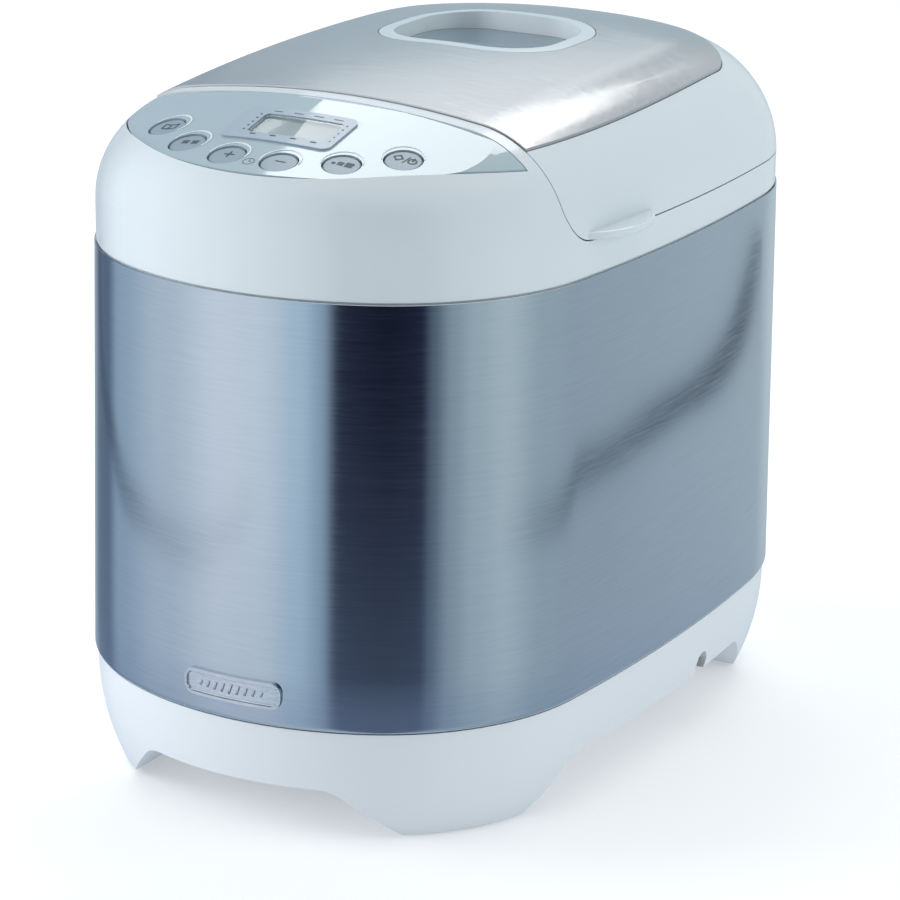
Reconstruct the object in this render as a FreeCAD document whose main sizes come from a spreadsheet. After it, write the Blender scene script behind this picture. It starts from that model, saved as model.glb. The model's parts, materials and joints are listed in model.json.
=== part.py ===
import FreeCAD
import Part
import Sketcher
import math
import os
from FreeCAD import Placement, Rotation, Vector

# A domestic bread machine with a long oval plan. The front is the rounded end with the sloping
# control panel, towards -Y. The lid covers the rest of the top and is hinged at the rear.
# The origin is on the floor, at the middle of the plan.

SIZES = [
    # overall form
    ("body_width", 230.4, "width of the white top at its widest"),
    ("body_depth", 360.0, "length of the white top, front to rear"),
    ("crown_height", 304.4, "floor to the highest line of the lid's white shell"),
    ("nose_flatness", 13.4, "nose radius beyond half the width"),
    ("corner_tuck", 18.5, "corner radius short of half the width"),
    ("side_ratio", 4.1753, "radius of the long sides in plan, in body widths"),
    ("crown_ratio", 1.9965, "radius of the top across the width, in body widths"),
    ("crown_shift", 64.2, "how far behind the middle the top is highest"),
    ("crown_front_radius", 1909.0, "radius of the top lengthwise, in front of the crest"),
    ("crown_rear_radius", 287.5, "radius of the top lengthwise, behind the crest"),
    ("edge_radius", 50.0, "rounding of the top edge at mid length"),
    ("edge_front_tightening", 15.0, "how much tighter the rounding is at the nose"),
    ("edge_rear_easing", 9.0, "how much larger the rounding is at the tail"),
    ("shell_wall", 2.8, "wall of the white mouldings"),
    # steel wrap
    ("steel_bottom", 50.0, "height of the wrap's lower edge"),
    ("steel_top", 231.7, "height of the wrap's upper edge"),
    ("steel_sheet", 0.8, "sheet thickness of the wrap"),
    ("steel_proud", 0.7, "how far the wrap stands out from the white rim"),
    ("steel_flare", 2.3, "how much wider the wrap is at its foot, each side"),
    ("steel_curl", 3.0, "outer radius of the wrap's curled foot"),
    ("steel_lip", 7.0, "width of the lip turned in under the wrap"),
    # base tray
    ("tray_inset", 1.5, "how far the tray's top edge lies inside the wrap"),
    ("tray_curve", 99.0, "radius of the skirt, seen from the side"),
    ("tray_straight", 46.0, "height at which the skirt turns upright"),
    ("tray_wall", 3.0, "wall of the tray"),
    ("tray_collar", 62.0, "height of the collar inside the wrap"),
    ("leg_clearance", 1.0, "gap between a leg and the floor, filled by the pad"),
    ("arch_height", 23.3, "height of the gaps between the legs"),
    ("front_arch_foot", 68.0, "half width of the front gap at the floor"),
    ("front_arch_top", 45.0, "half width of the front gap at its top"),
    ("side_arch_foot", 105.0, "half length of the side gap at the floor"),
    ("side_arch_top", 80.0, "half length of the side gap at its top"),
    ("arch_rounding", 14.0, "rounding of the gaps' upper corners"),
    ("pad_radius", 8.0, "radius of a rubber foot"),
    ("pad_height", 3.0, "height of a rubber foot"),
    ("pad_side", 80.0, "distance of a rubber foot from the long axis"),
    ("pad_end", 118.0, "distance of a rubber foot from the cross axis"),
    ("cord_side_place", 35.5, "place of the cord's notch along the right side"),
    ("cord_height", 27.0, "height of the cord's notch"),
    ("gland_radius", 5.5, "outside radius of the cord gland"),
    ("gland_bore", 3.2, "bore of the cord gland"),
    ("vent_slot", 3.0, "width of a slot in the tray's floor"),
    # upper housing, lid and hinge
    ("lid_seam", 247.3, "height of the lid's lower edge"),
    ("seam_gap", 0.6, "gap all round the lid"),
    ("head_length", 84.5, "length of the fixed control head"),
    ("lid_corner", 17.0, "rounding of the lid's lower front corner"),
    ("groove_height", 0.9, "height of the shadow groove above the wrap"),
    ("groove_depth", 1.1, "depth of the shadow groove above the wrap"),
    ("deck_height", 242.3, "height of the deck around the oven"),
    ("deck_sheet", 2.5, "thickness of the deck"),
    ("tab_length", 47.0, "length of a lifting tab"),
    ("tab_reach", 8.0, "how far a lifting tab stands out"),
    ("tab_thickness", 3.2, "thickness of a lifting tab"),
    ("tab_place", 41.8, "middle of a tab behind the lid's front edge"),
    ("hinge_inset", 8.5, "hinge axis inside the tail of the body"),
    ("hinge_rise", 7.0, "hinge axis above the lid's lower edge"),
    ("knuckle_radius", 6.5, "radius of the lid's hinge knuckle"),
    ("knuckle_half", 23.5, "half length of the lid's hinge knuckle"),
    ("ear_thickness", 6.0, "thickness of an ear of the hinge bracket"),
    ("pin_radius", 2.0, "radius of the hinge pin"),
    ("running_clearance", 0.05, "radial clearance of a shaft in its bearing"),
    # lid plate, window and liner
    ("plate_proud", 0.8, "how far the metal lid plate stands above the shell"),
    ("plate_bed", 1.2, "how deep the lid plate is let into the shell"),
    ("plate_side_margin", 19.2, "plate edge inside the body, at the sides"),
    ("plate_tail_margin", 50.0, "plate edge inside the body, at the rear"),
    ("plate_side_bow", 795.0, "radius of the plate's long edges"),
    ("plate_tail_radius", 118.0, "radius of the plate's rear edge"),
    ("plate_corner", 34.0, "rounding of the plate's rear corners"),
    ("fit_gap", 0.4, "gap around a part let into another"),
    ("window_place", 128.0, "middle of the window behind the lid's front edge"),
    ("window_half_width", 46.0, "half width of the window frame"),
    ("window_half_length", 41.0, "half length of the window frame"),
    ("window_corner", 33.0, "corner radius of the window frame"),
    ("window_rim", 6.0, "width of the window frame's rim at its top"),
    ("window_draft", 2.6, "how much wider the rim is at the pane"),
    ("window_flange", 3.4, "how far the rim rests on the lid shell"),
    ("window_floor", 294.3, "height of the outer pane's underside"),
    ("window_ledge", 2.0, "width and thickness of the ledge under the outer pane"),
    ("pane_thickness", 3.0, "thickness of a window pane"),
    ("liner_sheet", 0.8, "sheet thickness of the lid liner"),
    ("liner_flange_height", 250.5, "height of the liner's flange"),
    ("liner_roof", 262.0, "height of the liner's raised middle"),
    ("vent_count", 5, "steam slots in the lid plate"),
    ("vent_pitch", 10.5, "spacing of the steam slots"),
    ("vent_length", 7.2, "length of a steam slot"),
    ("vent_width", 2.2, "width of a steam slot"),
    ("vent_margin", 7.5, "steam slots in front of the plate's rear edge"),
    # control panel
    ("panel_height", 299.6, "height of the panel's surface at the lid's front edge"),
    ("panel_slope", 14.9, "slope of the panel in degrees"),
    ("panel_crown_ratio", 1.658, "radius of the panel across its width, in body widths"),
    ("panel_gap", 0.7, "gap around the panel plate"),
    ("panel_thickness", 2.2, "thickness of the panel plate"),
    ("panel_shelf", 2.5, "thickness of the shelf under the panel plate"),
    ("panel_front_margin", 8.7, "panel's front edge behind the nose"),
    ("panel_radius_margin", 16.2, "panel's front radius short of half the width"),
    ("panel_back_margin", 8.5, "panel's rear edge in front of the lid"),
    ("button_radius", 7.8, "radius of a button"),
    ("button_gap", 0.4, "gap around a button"),
    ("button_sink", 0.5, "how far a button lies below the panel"),
    ("button_flange", 9.4, "radius of a button's collar"),
    ("button_collar", 1.3, "thickness of a button's collar"),
    ("button_travel", 1.0, "travel of a button"),
    ("display_half_width", 26.0, "half width of the display bezel"),
    ("display_half_length", 13.8, "half length of the display bezel along the slope"),
    ("display_rise", 0.8, "height of the display bezel"),
    ("display_place", 48.1, "middle of the bezel behind the nose"),
    ("lens_half_width", 18.6, "half width of the display lens"),
    ("lens_half_length", 8.4, "half length of the display lens along the slope"),
    ("lens_shift", 3.0, "display lens to the right of the middle"),
    ("board_thickness", 1.6, "thickness of a circuit board"),
    ("board_depth", 16.0, "control board below the panel"),
    # oven
    ("oven_side_space", 35.2, "space beside the oven"),
    ("oven_front_space", 120.0, "space in front of the oven"),
    ("oven_rear_space", 48.0, "space behind the oven"),
    ("oven_corner", 24.0, "inside corner radius of the oven"),
    ("oven_floor", 78.0, "height of the oven's underside"),
    ("oven_sheet", 0.8, "sheet thickness of the oven"),
    ("oven_flange", 6.0, "width of the oven's flange on the deck"),
    ("deck_margin", 2.2, "gap between the oven and the deck"),
    ("heater_height", 104.0, "height of the heating element"),
    ("heater_radius", 3.25, "radius of the heating element's tube"),
    ("heater_margin", 8.5, "heating element's centre line off the oven wall"),
    ("heater_bend", 20.0, "corner radius of the heating element"),
    ("terminal_place", 15.0, "heater terminals beside the middle"),
    ("terminal_reach", 84.0, "heater terminals in front of the middle"),
    ("shield_place", 8.0, "heat shield in front of the oven"),
    ("seat_radius", 46.0, "inside radius of the pan seat"),
    ("seat_wall", 4.0, "wall of the pan seat"),
    ("seat_height", 11.0, "height of the pan seat"),
    # bread pan
    ("pan_clearance", 16.0, "pan's upper edge off the oven wall"),
    ("pan_draft", 8.0, "how much narrower the pan is at its bottom, each side"),
    ("pan_floor", 100.0, "height of the pan's underside"),
    ("pan_rim", 232.0, "height of the pan's rim"),
    ("pan_sheet", 1.6, "wall of the pan"),
    ("pan_flange", 4.0, "width of the pan's rim"),
    ("pan_corner", 20.0, "corner radius of the pan"),
    ("handle_wire", 2.0, "radius of the pan handle's wire"),
    ("handle_height", 222.0, "height of the handle's pivot"),
    ("handle_margin", 5.0, "handle outside the pan's rim"),
    ("spindle_radius", 4.0, "radius of the pan's spindle"),
    ("paddle_reach", 44.0, "reach of the kneading blade"),
    ("paddle_height", 24.0, "height of the kneading paddle"),
    ("paddle_blade", 6.0, "thickness of the kneading blade"),
    # drive
    ("chassis_height", 62.0, "underside of the chassis plate"),
    ("chassis_sheet", 2.0, "thickness of the chassis plate"),
    ("chassis_inset", 9.0, "chassis plate inside the body's outline"),
    ("post_radius", 5.0, "radius of the tray's posts"),
    ("shaft_radius", 5.0, "radius of the drive shaft"),
    ("bearing_radius", 12.9, "radius of the spindle bearing"),
    ("pedestal_radius", 22.0, "radius of the bearing's pedestal"),
    ("pulley_radius", 50.0, "groove radius of the large pulley"),
    ("motor_pulley_radius", 8.0, "groove radius of the motor pulley"),
    ("pulley_rim", 2.5, "height of a pulley's rims"),
    ("belt_width", 8.0, "width of the belt"),
    ("belt_thickness", 2.0, "thickness of the belt"),
    ("belt_height", 48.0, "height of the belt's middle"),
    ("belt_slack", 0.3, "gap between the belt and a pulley"),
    ("motor_place", 62.0, "motor shaft behind the nose"),
    ("rotor_radius", 17.0, "radius of the motor's rotor"),
    ("air_gap", 0.4, "gap between rotor and stator"),
    ("stator_half_width", 34.0, "half width of the stator"),
    ("stator_half_length", 30.0, "half length of the stator"),
    ("stator_floor", 78.0, "height of the stator's underside"),
    ("stator_height", 34.0, "height of the stator"),
    ("motor_shaft_radius", 3.0, "radius of the motor's shaft"),
    ("mount_height", 6.0, "height of a rubber motor mount"),
    ("bracket_sheet", 3.0, "thickness of a motor bracket"),
    ("bolt_radius", 2.0, "radius of a motor bolt"),
    ("screw_radius", 1.6, "radius of a screw's shank"),
    ("screw_head", 3.2, "radius of a screw's head"),
    # badge
    ("badge_half_width", 23.0, "half width of the badge"),
    ("badge_half_height", 5.7, "half height of the badge"),
    ("badge_height", 64.3, "height of the badge's middle"),
    ("badge_shift", 3.9, "badge to the right of the middle"),
    ("badge_thickness", 1.4, "thickness of the badge"),
]

# Each button's name, its place beside the middle and its place behind the nose.
BUTTONS = [
    ("button_menu", -56.3, 43.3),
    ("button_crust", -36.6, 28.5),
    ("button_plus", -12.3, 20.5),
    ("button_minus", 12.3, 20.5),
    ("button_size", 36.6, 28.5),
    ("button_start", 56.3, 43.3),
]

doc = FreeCAD.newDocument("bread_machine")
sheet = doc.addObject("Spreadsheet::Sheet", "sizes")
for row, (alias, number, meaning) in enumerate(SIZES, 1):
    sheet.set("A%d" % row, alias)
    sheet.set("B%d" % row, str(number))
    sheet.set("C%d" % row, meaning)
    sheet.setAlias("B%d" % row, alias)
doc.recompute()


class Length(float):
    """A number that also carries the sheet expression that gives it."""

    def __new__(cls, value, text=None):
        item = float.__new__(cls, value)
        item.text = text or repr(float(value))
        return item

    def joined(self, other, sign, value, swapped=False):
        mine, its = self.text, getattr(other, "text", repr(float(other)))
        first, second = (its, mine) if swapped else (mine, its)
        return Length(value, "(%s %s %s)" % (first, sign, second))

    def __add__(self, other):
        return self.joined(other, "+", float(self) + float(other))

    def __radd__(self, other):
        return self.joined(other, "+", float(other) + float(self), True)

    def __sub__(self, other):
        return self.joined(other, "-", float(self) - float(other))

    def __rsub__(self, other):
        return self.joined(other, "-", float(other) - float(self), True)

    def __mul__(self, other):
        return self.joined(other, "*", float(self) * float(other))

    def __rmul__(self, other):
        return self.joined(other, "*", float(other) * float(self), True)

    def __truediv__(self, other):
        return self.joined(other, "/", float(self) / float(other))

    def __neg__(self):
        return Length(-float(self), "(0 - %s)" % self.text)


def size(alias):
    return Length(sheet.get(alias), "sizes." + alias)


ZERO = Length(0.0)
TALL = 340.0

half_width = size("body_width") / 2
half_depth = size("body_depth") / 2
nose_radius = half_width + size("nose_flatness")
shell_wall = size("shell_wall")
steel_bottom = size("steel_bottom")
steel_top = size("steel_top")
lid_seam = size("lid_seam")
seam_gap = size("seam_gap")
fit_gap = size("fit_gap")
deck_top = size("deck_height")
deck_bottom = deck_top - size("deck_sheet")
lid_front = size("head_length") - half_depth
hinge_y = half_depth - size("hinge_inset")
hinge_z = lid_seam + size("hinge_rise")
pin_radius = size("pin_radius")
bearing_gap = size("running_clearance")
oven_half_x = half_width - size("oven_side_space")
oven_half_y = half_depth - (size("oven_front_space") + size("oven_rear_space")) / 2
oven_y = (size("oven_front_space") - size("oven_rear_space")) / 2
oven_front = size("oven_front_space") - half_depth
oven_floor = size("oven_floor")
oven_sheet = size("oven_sheet")
motor_y = size("motor_place") - half_depth
chassis_bottom = size("chassis_height")
chassis_top = chassis_bottom + size("chassis_sheet")
panel_thickness = size("panel_thickness")
panel_shelf = size("panel_shelf")
side_radius = size("body_width") * size("side_ratio")
crown_radius = size("body_width") * size("crown_ratio")
panel_crown = size("body_width") * size("panel_crown_ratio")

subparts = []


# ---------------------------------------------------------------- document helpers

def keep(item, label):
    """Marks an object of the document as a sub-part and names it."""
    item.Label = label
    subparts.append(item)
    return item


def place(item, x=ZERO, y=ZERO, z=ZERO):
    for letter, value in zip("xyz", (x, y, z)):
        item.setExpression("Placement.Base." + letter, value.text)


def solid_feature(label, shape):
    """A sub-part whose shape comes from Part's own functions."""
    item = doc.addObject("Part::Feature", label)
    item.Shape = shape
    return keep(item, label)


def cylinder(name, radius, height, x=ZERO, y=ZERO, z=ZERO):
    item = doc.addObject("Part::Cylinder", name)
    item.setExpression("Radius", radius.text)
    item.setExpression("Height", height.text)
    place(item, x, y, z)
    return item


def block(name, low, high):
    """A box between two corners given as lengths."""
    item = doc.addObject("Part::Box", name)
    for side, first, last in zip(("Length", "Width", "Height"), low, high):
        item.setExpression(side, (last - first).text)
    place(item, *low)
    return item


def cut(name, base, tool):
    item = doc.addObject("Part::Cut", name)
    item.Base = base
    item.Tool = tool
    return item


def fuse(name, items):
    item = doc.addObject("Part::MultiFuse", name)
    item.Shapes = items
    return item


def group(label, items):
    """Several like pieces, kept as separate solids of one sub-part."""
    item = doc.addObject("Part::Compound", label)
    item.Links = items
    return keep(item, label)


def origin_plane(body, role):
    return next(item for item in body.Origin.OriginFeatures if item.Role == role)


def closed_sketch(body, name, role, corners):
    """A closed outline with straight sides, each corner held by two dimensions from the origin."""
    sketch = body.newObject("Sketcher::SketchObject", name)
    sketch.AttachmentSupport = (origin_plane(body, role), [""])
    sketch.MapMode = "FlatFace"
    count = len(corners)
    points = [Vector(u, v, 0) for u, v in corners]
    for i in range(count):
        sketch.addGeometry(Part.LineSegment(points[i], points[(i + 1) % count]))
    for i in range(count):
        sketch.addConstraint(Sketcher.Constraint("Coincident", i, 2, (i + 1) % count, 1))
    for i, (u, v) in enumerate(corners):
        for kind, axis, value in (("DistanceX", -2, u), ("DistanceY", -1, v)):
            if abs(value) < 1e-9:
                sketch.addConstraint(Sketcher.Constraint("PointOnObject", i, 1, axis))
                continue
            held = sketch.addConstraint(Sketcher.Constraint(kind, -1, 1, i, 1, float(value)))
            sketch.setExpression("Constraints[%d]" % held, value.text)
    return sketch


def turned_body(label, corners, x=ZERO, y=ZERO):
    """A body turned about the upright axis through (x, y); corners are (radius, height)."""
    body = doc.addObject("PartDesign::Body", label)
    sketch = closed_sketch(body, label + "_profile", "XZ_Plane", corners)
    turn = body.newObject("PartDesign::Revolution", label + "_turn")
    turn.Profile = sketch
    turn.ReferenceAxis = (sketch, ["V_Axis"])
    turn.Angle = 360
    sketch.Visibility = False
    place(body, x, y)
    return keep(body, label)


def screw(name, x, y, head_z, length, up=1):
    """A screw whose head rests at head_z; up is the side the head is on."""
    shank_z = head_z - length if up > 0 else head_z
    head_height = size("screw_radius")
    cap_z = head_z if up > 0 else head_z - head_height
    shank = cylinder(name + "_shank", size("screw_radius"), length, x, y, shank_z)
    head = cylinder(name + "_cap", size("screw_head"), head_height, x, y, cap_z)
    return fuse(name, [shank, head])


def mirrored(x, y):
    """The four places that a point takes about the two middle planes."""
    return [(sx * x, sy * y) for sx in (-1, 1) for sy in (-1, 1)]


# ---------------------------------------------------------------- the outer form

def corner_centre():
    """Centre of the front right corner arc, which touches the nose arc and the side arc inside."""
    nose_y = -half_depth + nose_radius
    side_x = half_width - side_radius
    corner_radius = half_width - size("corner_tuck")
    to_nose = nose_radius - corner_radius
    to_side = side_radius - corner_radius
    span = math.hypot(side_x, nose_y)
    along = (to_side ** 2 - to_nose ** 2 + span ** 2) / (2 * span)
    across = math.sqrt(to_side ** 2 - along ** 2)
    step_x, step_y = -side_x / span, nose_y / span
    return side_x + step_x * along + step_y * across, step_y * along - step_x * across


def outline(grow, z):
    """The plan outline: nose, corner and side arcs that meet smoothly, moved outwards by grow."""
    centre = corner_centre()
    nose = (0.0, -half_depth + nose_radius, nose_radius + grow)
    side = (half_width - side_radius, 0.0, side_radius + grow)
    corner_radius = half_width - size("corner_tuck") + grow

    def touch(arc):
        away = math.hypot(centre[0] - arc[0], centre[1] - arc[1])
        scale = arc[2] / away
        return arc[0] + (centre[0] - arc[0]) * scale, arc[1] + (centre[1] - arc[1]) * scale

    first, last = touch(nose), touch(side)
    middle_x = (first[0] + last[0]) / 2 - centre[0]
    middle_y = (first[1] + last[1]) / 2 - centre[1]
    reach = corner_radius / math.hypot(middle_x, middle_y)
    middle = (centre[0] + middle_x * reach, centre[1] + middle_y * reach)

    def at(point, x_sign, y_sign):
        return Vector(point[0] * x_sign, point[1] * y_sign, z)

    tip = (0.0, -half_depth - grow)
    flank = (half_width + grow, 0.0)
    arcs = [
        (at(first, -1, 1), at(tip, 1, 1), at(first, 1, 1)),
        (at(first, 1, 1), at(middle, 1, 1), at(last, 1, 1)),
        (at(last, 1, 1), at(flank, 1, 1), at(last, 1, -1)),
        (at(last, 1, -1), at(middle, 1, -1), at(first, 1, -1)),
        (at(first, 1, -1), at(tip, 1, -1), at(first, -1, -1)),
        (at(first, -1, -1), at(middle, -1, -1), at(last, -1, -1)),
        (at(last, -1, -1), at(flank, -1, 1), at(last, -1, 1)),
        (at(last, -1, 1), at(middle, -1, 1), at(first, -1, 1)),
    ]
    return Part.Wire([Part.Arc(*points).toShape() for points in arcs])


def prism(grow, low, high):
    """The outline as an upright solid between two heights."""
    return Part.Face(outline(grow, low)).extrude(Vector(0, 0, high - low))


def crown(inset):
    """Everything below the crowned top: a lengthwise profile swung about a low axis along Y."""
    top = size("crown_height")
    axis_z = top - crown_radius
    crest_y = size("crown_shift")
    ends = (-half_depth - 25, half_depth + 25)

    def height(y, radius):
        return top - radius + math.sqrt((radius - inset) ** 2 - (y - crest_y) ** 2)

    def curve(y_from, y_to, radius):
        points = [Vector(0, y, height(y, radius)) for y in (y_from, (y_from + y_to) / 2, y_to)]
        return Part.Arc(*points).toShape()

    front = curve(ends[0], crest_y, size("crown_front_radius"))
    rear = curve(crest_y, ends[1], size("crown_rear_radius"))
    foot = [Vector(0, y, axis_z) for y in ends]
    sides = [
        Part.makeLine(foot[0], Vector(0, ends[0], height(ends[0], size("crown_front_radius")))),
        front,
        rear,
        Part.makeLine(Vector(0, ends[1], height(ends[1], size("crown_rear_radius"))), foot[1]),
        Part.makeLine(foot[1], foot[0]),
    ]
    face = Part.Face(Part.Wire(sides))
    swing = math.degrees(math.asin((half_width + 20) / (steel_top - 20 - axis_z)))
    face.rotate(foot[0], Vector(0, 1, 0), -swing)
    return face.revolve(foot[0], Vector(0, 1, 0), 2 * swing)


def edge_rounding(y):
    """Radius of the top edge at a place along the body."""
    share = (y / half_depth) ** 2
    change = -size("edge_front_tightening") if y < 0 else size("edge_rear_easing")
    return size("edge_radius") + change * share


def form(inset, low):
    """The body's outer form moved inwards by inset, from the height low up to its rounded top."""
    raw = prism(-inset, low, TALL).common(crown(inset)).Solids[0]
    rims = []
    for face in raw.Faces:
        if not isinstance(face.Surface, Part.Cylinder) or abs(face.Surface.Axis.z) < 0.99:
            continue
        for edge in face.Edges:
            upright = isinstance(edge.Curve, Part.Line)
            if not upright and edge.CenterOfMass.z > low + 20:
                if not any(edge.isSame(other) for other in rims):
                    rims.append(edge)
    holder = doc.addObject("Part::Feature", "form_raw")
    holder.Shape = raw
    rounded = doc.addObject("Part::Fillet", "form")
    rounded.Base = holder
    table = []
    for number, edge in enumerate(raw.Edges, 1):
        if any(edge.isSame(other) for other in rims):
            ends = [edge.valueAt(value).y for value in (edge.FirstParameter, edge.LastParameter)]
            table.append((number, edge_rounding(ends[0]) - inset, edge_rounding(ends[1]) - inset))
    rounded.Edges = table
    doc.recompute()
    shape = rounded.Shape.copy()
    doc.removeObject(rounded.Name)
    doc.removeObject(holder.Name)
    return shape


def slab(y_low, y_high, z_low=0.0, z_high=TALL):
    """A wide box across the whole width."""
    reach = 2 * half_width
    return Part.makeBox(2 * reach, y_high - y_low, z_high - z_low, Vector(-reach, y_low, z_low))


def rounded_box(half_x, half_y, radius, low, high, x=0.0, y=0.0):
    """An upright solid with a rounded rectangular plan."""
    raw = Part.makeBox(2 * half_x, 2 * half_y, high - low, Vector(x - half_x, y - half_y, low))
    upright = [edge for edge in raw.Edges if abs(edge.Vertexes[0].Z - edge.Vertexes[1].Z) > 1e-6]
    return raw.makeFillet(radius, upright)


def rod(radius, start, end):
    start, end = Vector(*start), Vector(*end)
    return Part.makeCylinder(radius, (end - start).Length, start, end - start)


# ---------------------------------------------------------------- base tray

def skirt_grow(z):
    """How far the skirt's outside lies from the body's outline at a height."""
    drop = max(size("tray_straight") - z, 0.0)
    top = size("steel_proud") + size("steel_flare") - size("tray_inset")
    return top - size("tray_curve") + math.sqrt(size("tray_curve") ** 2 - drop ** 2)


def skirt(inset, low, high):
    """The skirt's curved solid between two heights."""
    steps = 4
    heights = [low + (high - low) * i / steps for i in range(steps + 1)]
    return Part.makeLoft([outline(skirt_grow(z) - inset, z) for z in heights], True, False)


def arch(foot_low, top_low, top_high, foot_high, along_y):
    """The gap between two legs, as a prism with rounded upper corners."""
    below = -5.0
    slope_low = (top_low - foot_low) / size("arch_height")
    slope_high = (top_high - foot_high) / size("arch_height")
    corners = [
        (foot_low + slope_low * below, below),
        (top_low, size("arch_height")),
        (top_high, size("arch_height")),
        (foot_high + slope_high * below, below),
    ]
    reach = 2 * half_depth
    if along_y:
        points = [Vector(u, -reach, v) for u, v in corners]
        way = Vector(0, 2 * reach, 0)
    else:
        points = [Vector(-reach, u, v) for u, v in corners]
        way = Vector(2 * reach, 0, 0)
    raw = Part.Face(Part.makePolygon(points + points[:1])).extrude(way)
    high = [edge for edge in raw.Edges
            if min(vertex.Z for vertex in edge.Vertexes) > size("arch_height") - 1e-6
            and edge.Length > reach]
    return raw.makeFillet(size("arch_rounding"), high)


POSTS = mirrored(half_width - 27, 60.0) + mirrored(half_width - 70, half_depth - 40)


def base_tray():
    floor_top = size("arch_height") + size("tray_wall")
    collar_grow = size("steel_proud") + size("steel_flare") - size("steel_lip") - fit_gap
    wall = size("tray_wall")
    shape = skirt(0.0, size("leg_clearance"), steel_bottom)
    shape = shape.fuse(prism(collar_grow, steel_bottom - 1, size("tray_collar")))
    shape = shape.cut(skirt(wall, floor_top, steel_bottom - wall))
    shape = shape.cut(prism(collar_grow - wall, steel_bottom - wall - 1, TALL))
    front = (size("front_arch_foot"), size("front_arch_top"))
    side = (size("side_arch_foot"), size("side_arch_top"))
    shape = shape.cut(arch(-front[0], -front[1], front[1], front[0], True))
    shape = shape.cut(arch(-side[0], -side[1], side[1], side[0], False))
    for x, y in mirrored(size("pad_side"), size("pad_end")):
        recess = Part.makeCylinder(size("pad_radius"), size("pad_height"), Vector(x, y, 0))
        hollow_low = size("pad_height") + wall
        hollow = Part.makeCylinder(size("pad_radius"), floor_top - hollow_low + 1, Vector(x, y, hollow_low))
        shape = shape.cut(recess).cut(hollow)
    for i in range(-3, 4):
        slot = rounded_box(size("vent_slot") / 2, 20.0, size("vent_slot") / 2 - 0.01,
                           0.0, floor_top + 1, i * 3 * size("vent_slot"), motor_y)
        shape = shape.cut(slot)
    notch = rod(size("gland_radius"), (half_width - 17, size("cord_side_place"), size("cord_height")),
                (half_width + 10, size("cord_side_place"), size("cord_height")))
    shape = shape.cut(notch)
    for x, y in POSTS:
        tall = chassis_bottom - floor_top + 1
        post = Part.makeCylinder(size("post_radius"), tall, Vector(x, y, floor_top - 1))
        hole = Part.makeCylinder(size("screw_radius"), 14.0, Vector(x, y, chassis_bottom - 14.0))
        shape = shape.fuse(post).cut(hole)
    solid_feature("base_tray", shape)


def foot_pads():
    radius, height, bevel = size("pad_radius"), size("pad_height"), Length(0.8)
    pads = []
    for i, (x, y) in enumerate(mirrored(size("pad_side"), size("pad_end"))):
        upper = cylinder("pad_%d" % i, radius, height - bevel, x, y, bevel)
        lower = cylinder("pad_sole_%d" % i, radius - bevel, bevel, x, y)
        pads.append(fuse("foot_%d" % i, [upper, lower]))
    group("rubber_feet", pads)


def cord_gland():
    outer = cylinder("gland_outside", size("gland_radius"), Length(10.0))
    bore = cylinder("gland_bore_tool", size("gland_bore"), Length(10.0))
    sleeve = keep(cut("gland_sleeve", outer, bore), "cord_gland")
    sleeve.Placement = Placement(Vector(half_width - 17, size("cord_side_place"), size("cord_height")),
                                 Rotation(Vector(0, 1, 0), 90))


# ---------------------------------------------------------------- steel wrap and badge

def steel_solid(inset, low):
    """The wrap's flared solid, with its foot rounded, moved inwards by inset."""
    foot = size("steel_proud") + size("steel_flare") - inset
    top = size("steel_proud") - inset
    raw = Part.makeLoft([outline(foot, low), outline(top, steel_top)], True, True)
    foot_edges = [edge for edge in raw.Edges if max(vertex.Z for vertex in edge.Vertexes) < low + 1e-3]
    curl = size("steel_curl") - inset
    return raw.makeFillet(curl, foot_edges) if curl > 0.3 else raw


def steel_wrap():
    lip = size("steel_proud") + size("steel_flare") - size("steel_lip")
    hollow = steel_solid(size("steel_sheet"), steel_bottom + size("steel_sheet"))
    shape = steel_solid(0.0, steel_bottom).cut(hollow)
    shape = shape.cut(prism(lip, steel_bottom - 5, steel_bottom + 5))
    solid_feature("steel_wrap", shape)


def badge_plate():
    """A raised rounded plate that follows the wrap's nose."""
    def field(shrink, depth):
        half_x = size("badge_half_width") - shrink
        half_z = size("badge_half_height") - shrink
        corner = Vector(size("badge_shift") - half_x, -half_depth - 20, size("badge_height") - half_z)
        raw = Part.makeBox(2 * half_x, 40.0, 2 * half_z, corner)
        lengthwise = [edge for edge in raw.Edges if abs(edge.Vertexes[0].Y - edge.Vertexes[1].Y) > 1.0]
        return raw.makeFillet(half_z * 0.8, lengthwise).cut(steel_solid(depth, steel_bottom))

    def skin(grow):
        foot = size("steel_proud") + size("steel_flare") + grow
        head = size("steel_proud") + grow
        return Part.makeLoft([outline(foot, steel_bottom), outline(head, steel_top)], True, True)

    thickness = size("badge_thickness")
    rim = field(0.0, 0.0).common(skin(thickness))
    shape = rim.cut(field(1.2, 0.0).cut(skin(thickness / 2)))
    solid_feature("badge_plate", shape)


# ---------------------------------------------------------------- control panel geometry

slope = math.radians(size("panel_slope"))
panel_normal = Vector(0, -math.sin(slope), math.cos(slope))


def panel_below(depth):
    """Everything below the crowned, sloping panel surface lowered by depth."""
    radius = panel_crown - depth
    way = Vector(0, math.cos(slope), math.sin(slope))
    top = Vector(0, lid_front, size("panel_height"))
    start = top - panel_normal * panel_crown - way * 400
    return Part.makeCylinder(radius, 800, start, way)


def panel_point(x, y):
    """A point of the panel's surface."""
    radius = panel_crown
    drop = (radius - math.sqrt(radius ** 2 - x ** 2)) / math.cos(slope)
    return Vector(x, y, size("panel_height") + math.tan(slope) * (y - lid_front) - drop)


def panel_axis(x):
    """The outward normal of the panel's surface at a place across its width."""
    lean = math.asin(x / panel_crown)
    return Vector(math.sin(lean), panel_normal.y * math.cos(lean), panel_normal.z * math.cos(lean))


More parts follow.
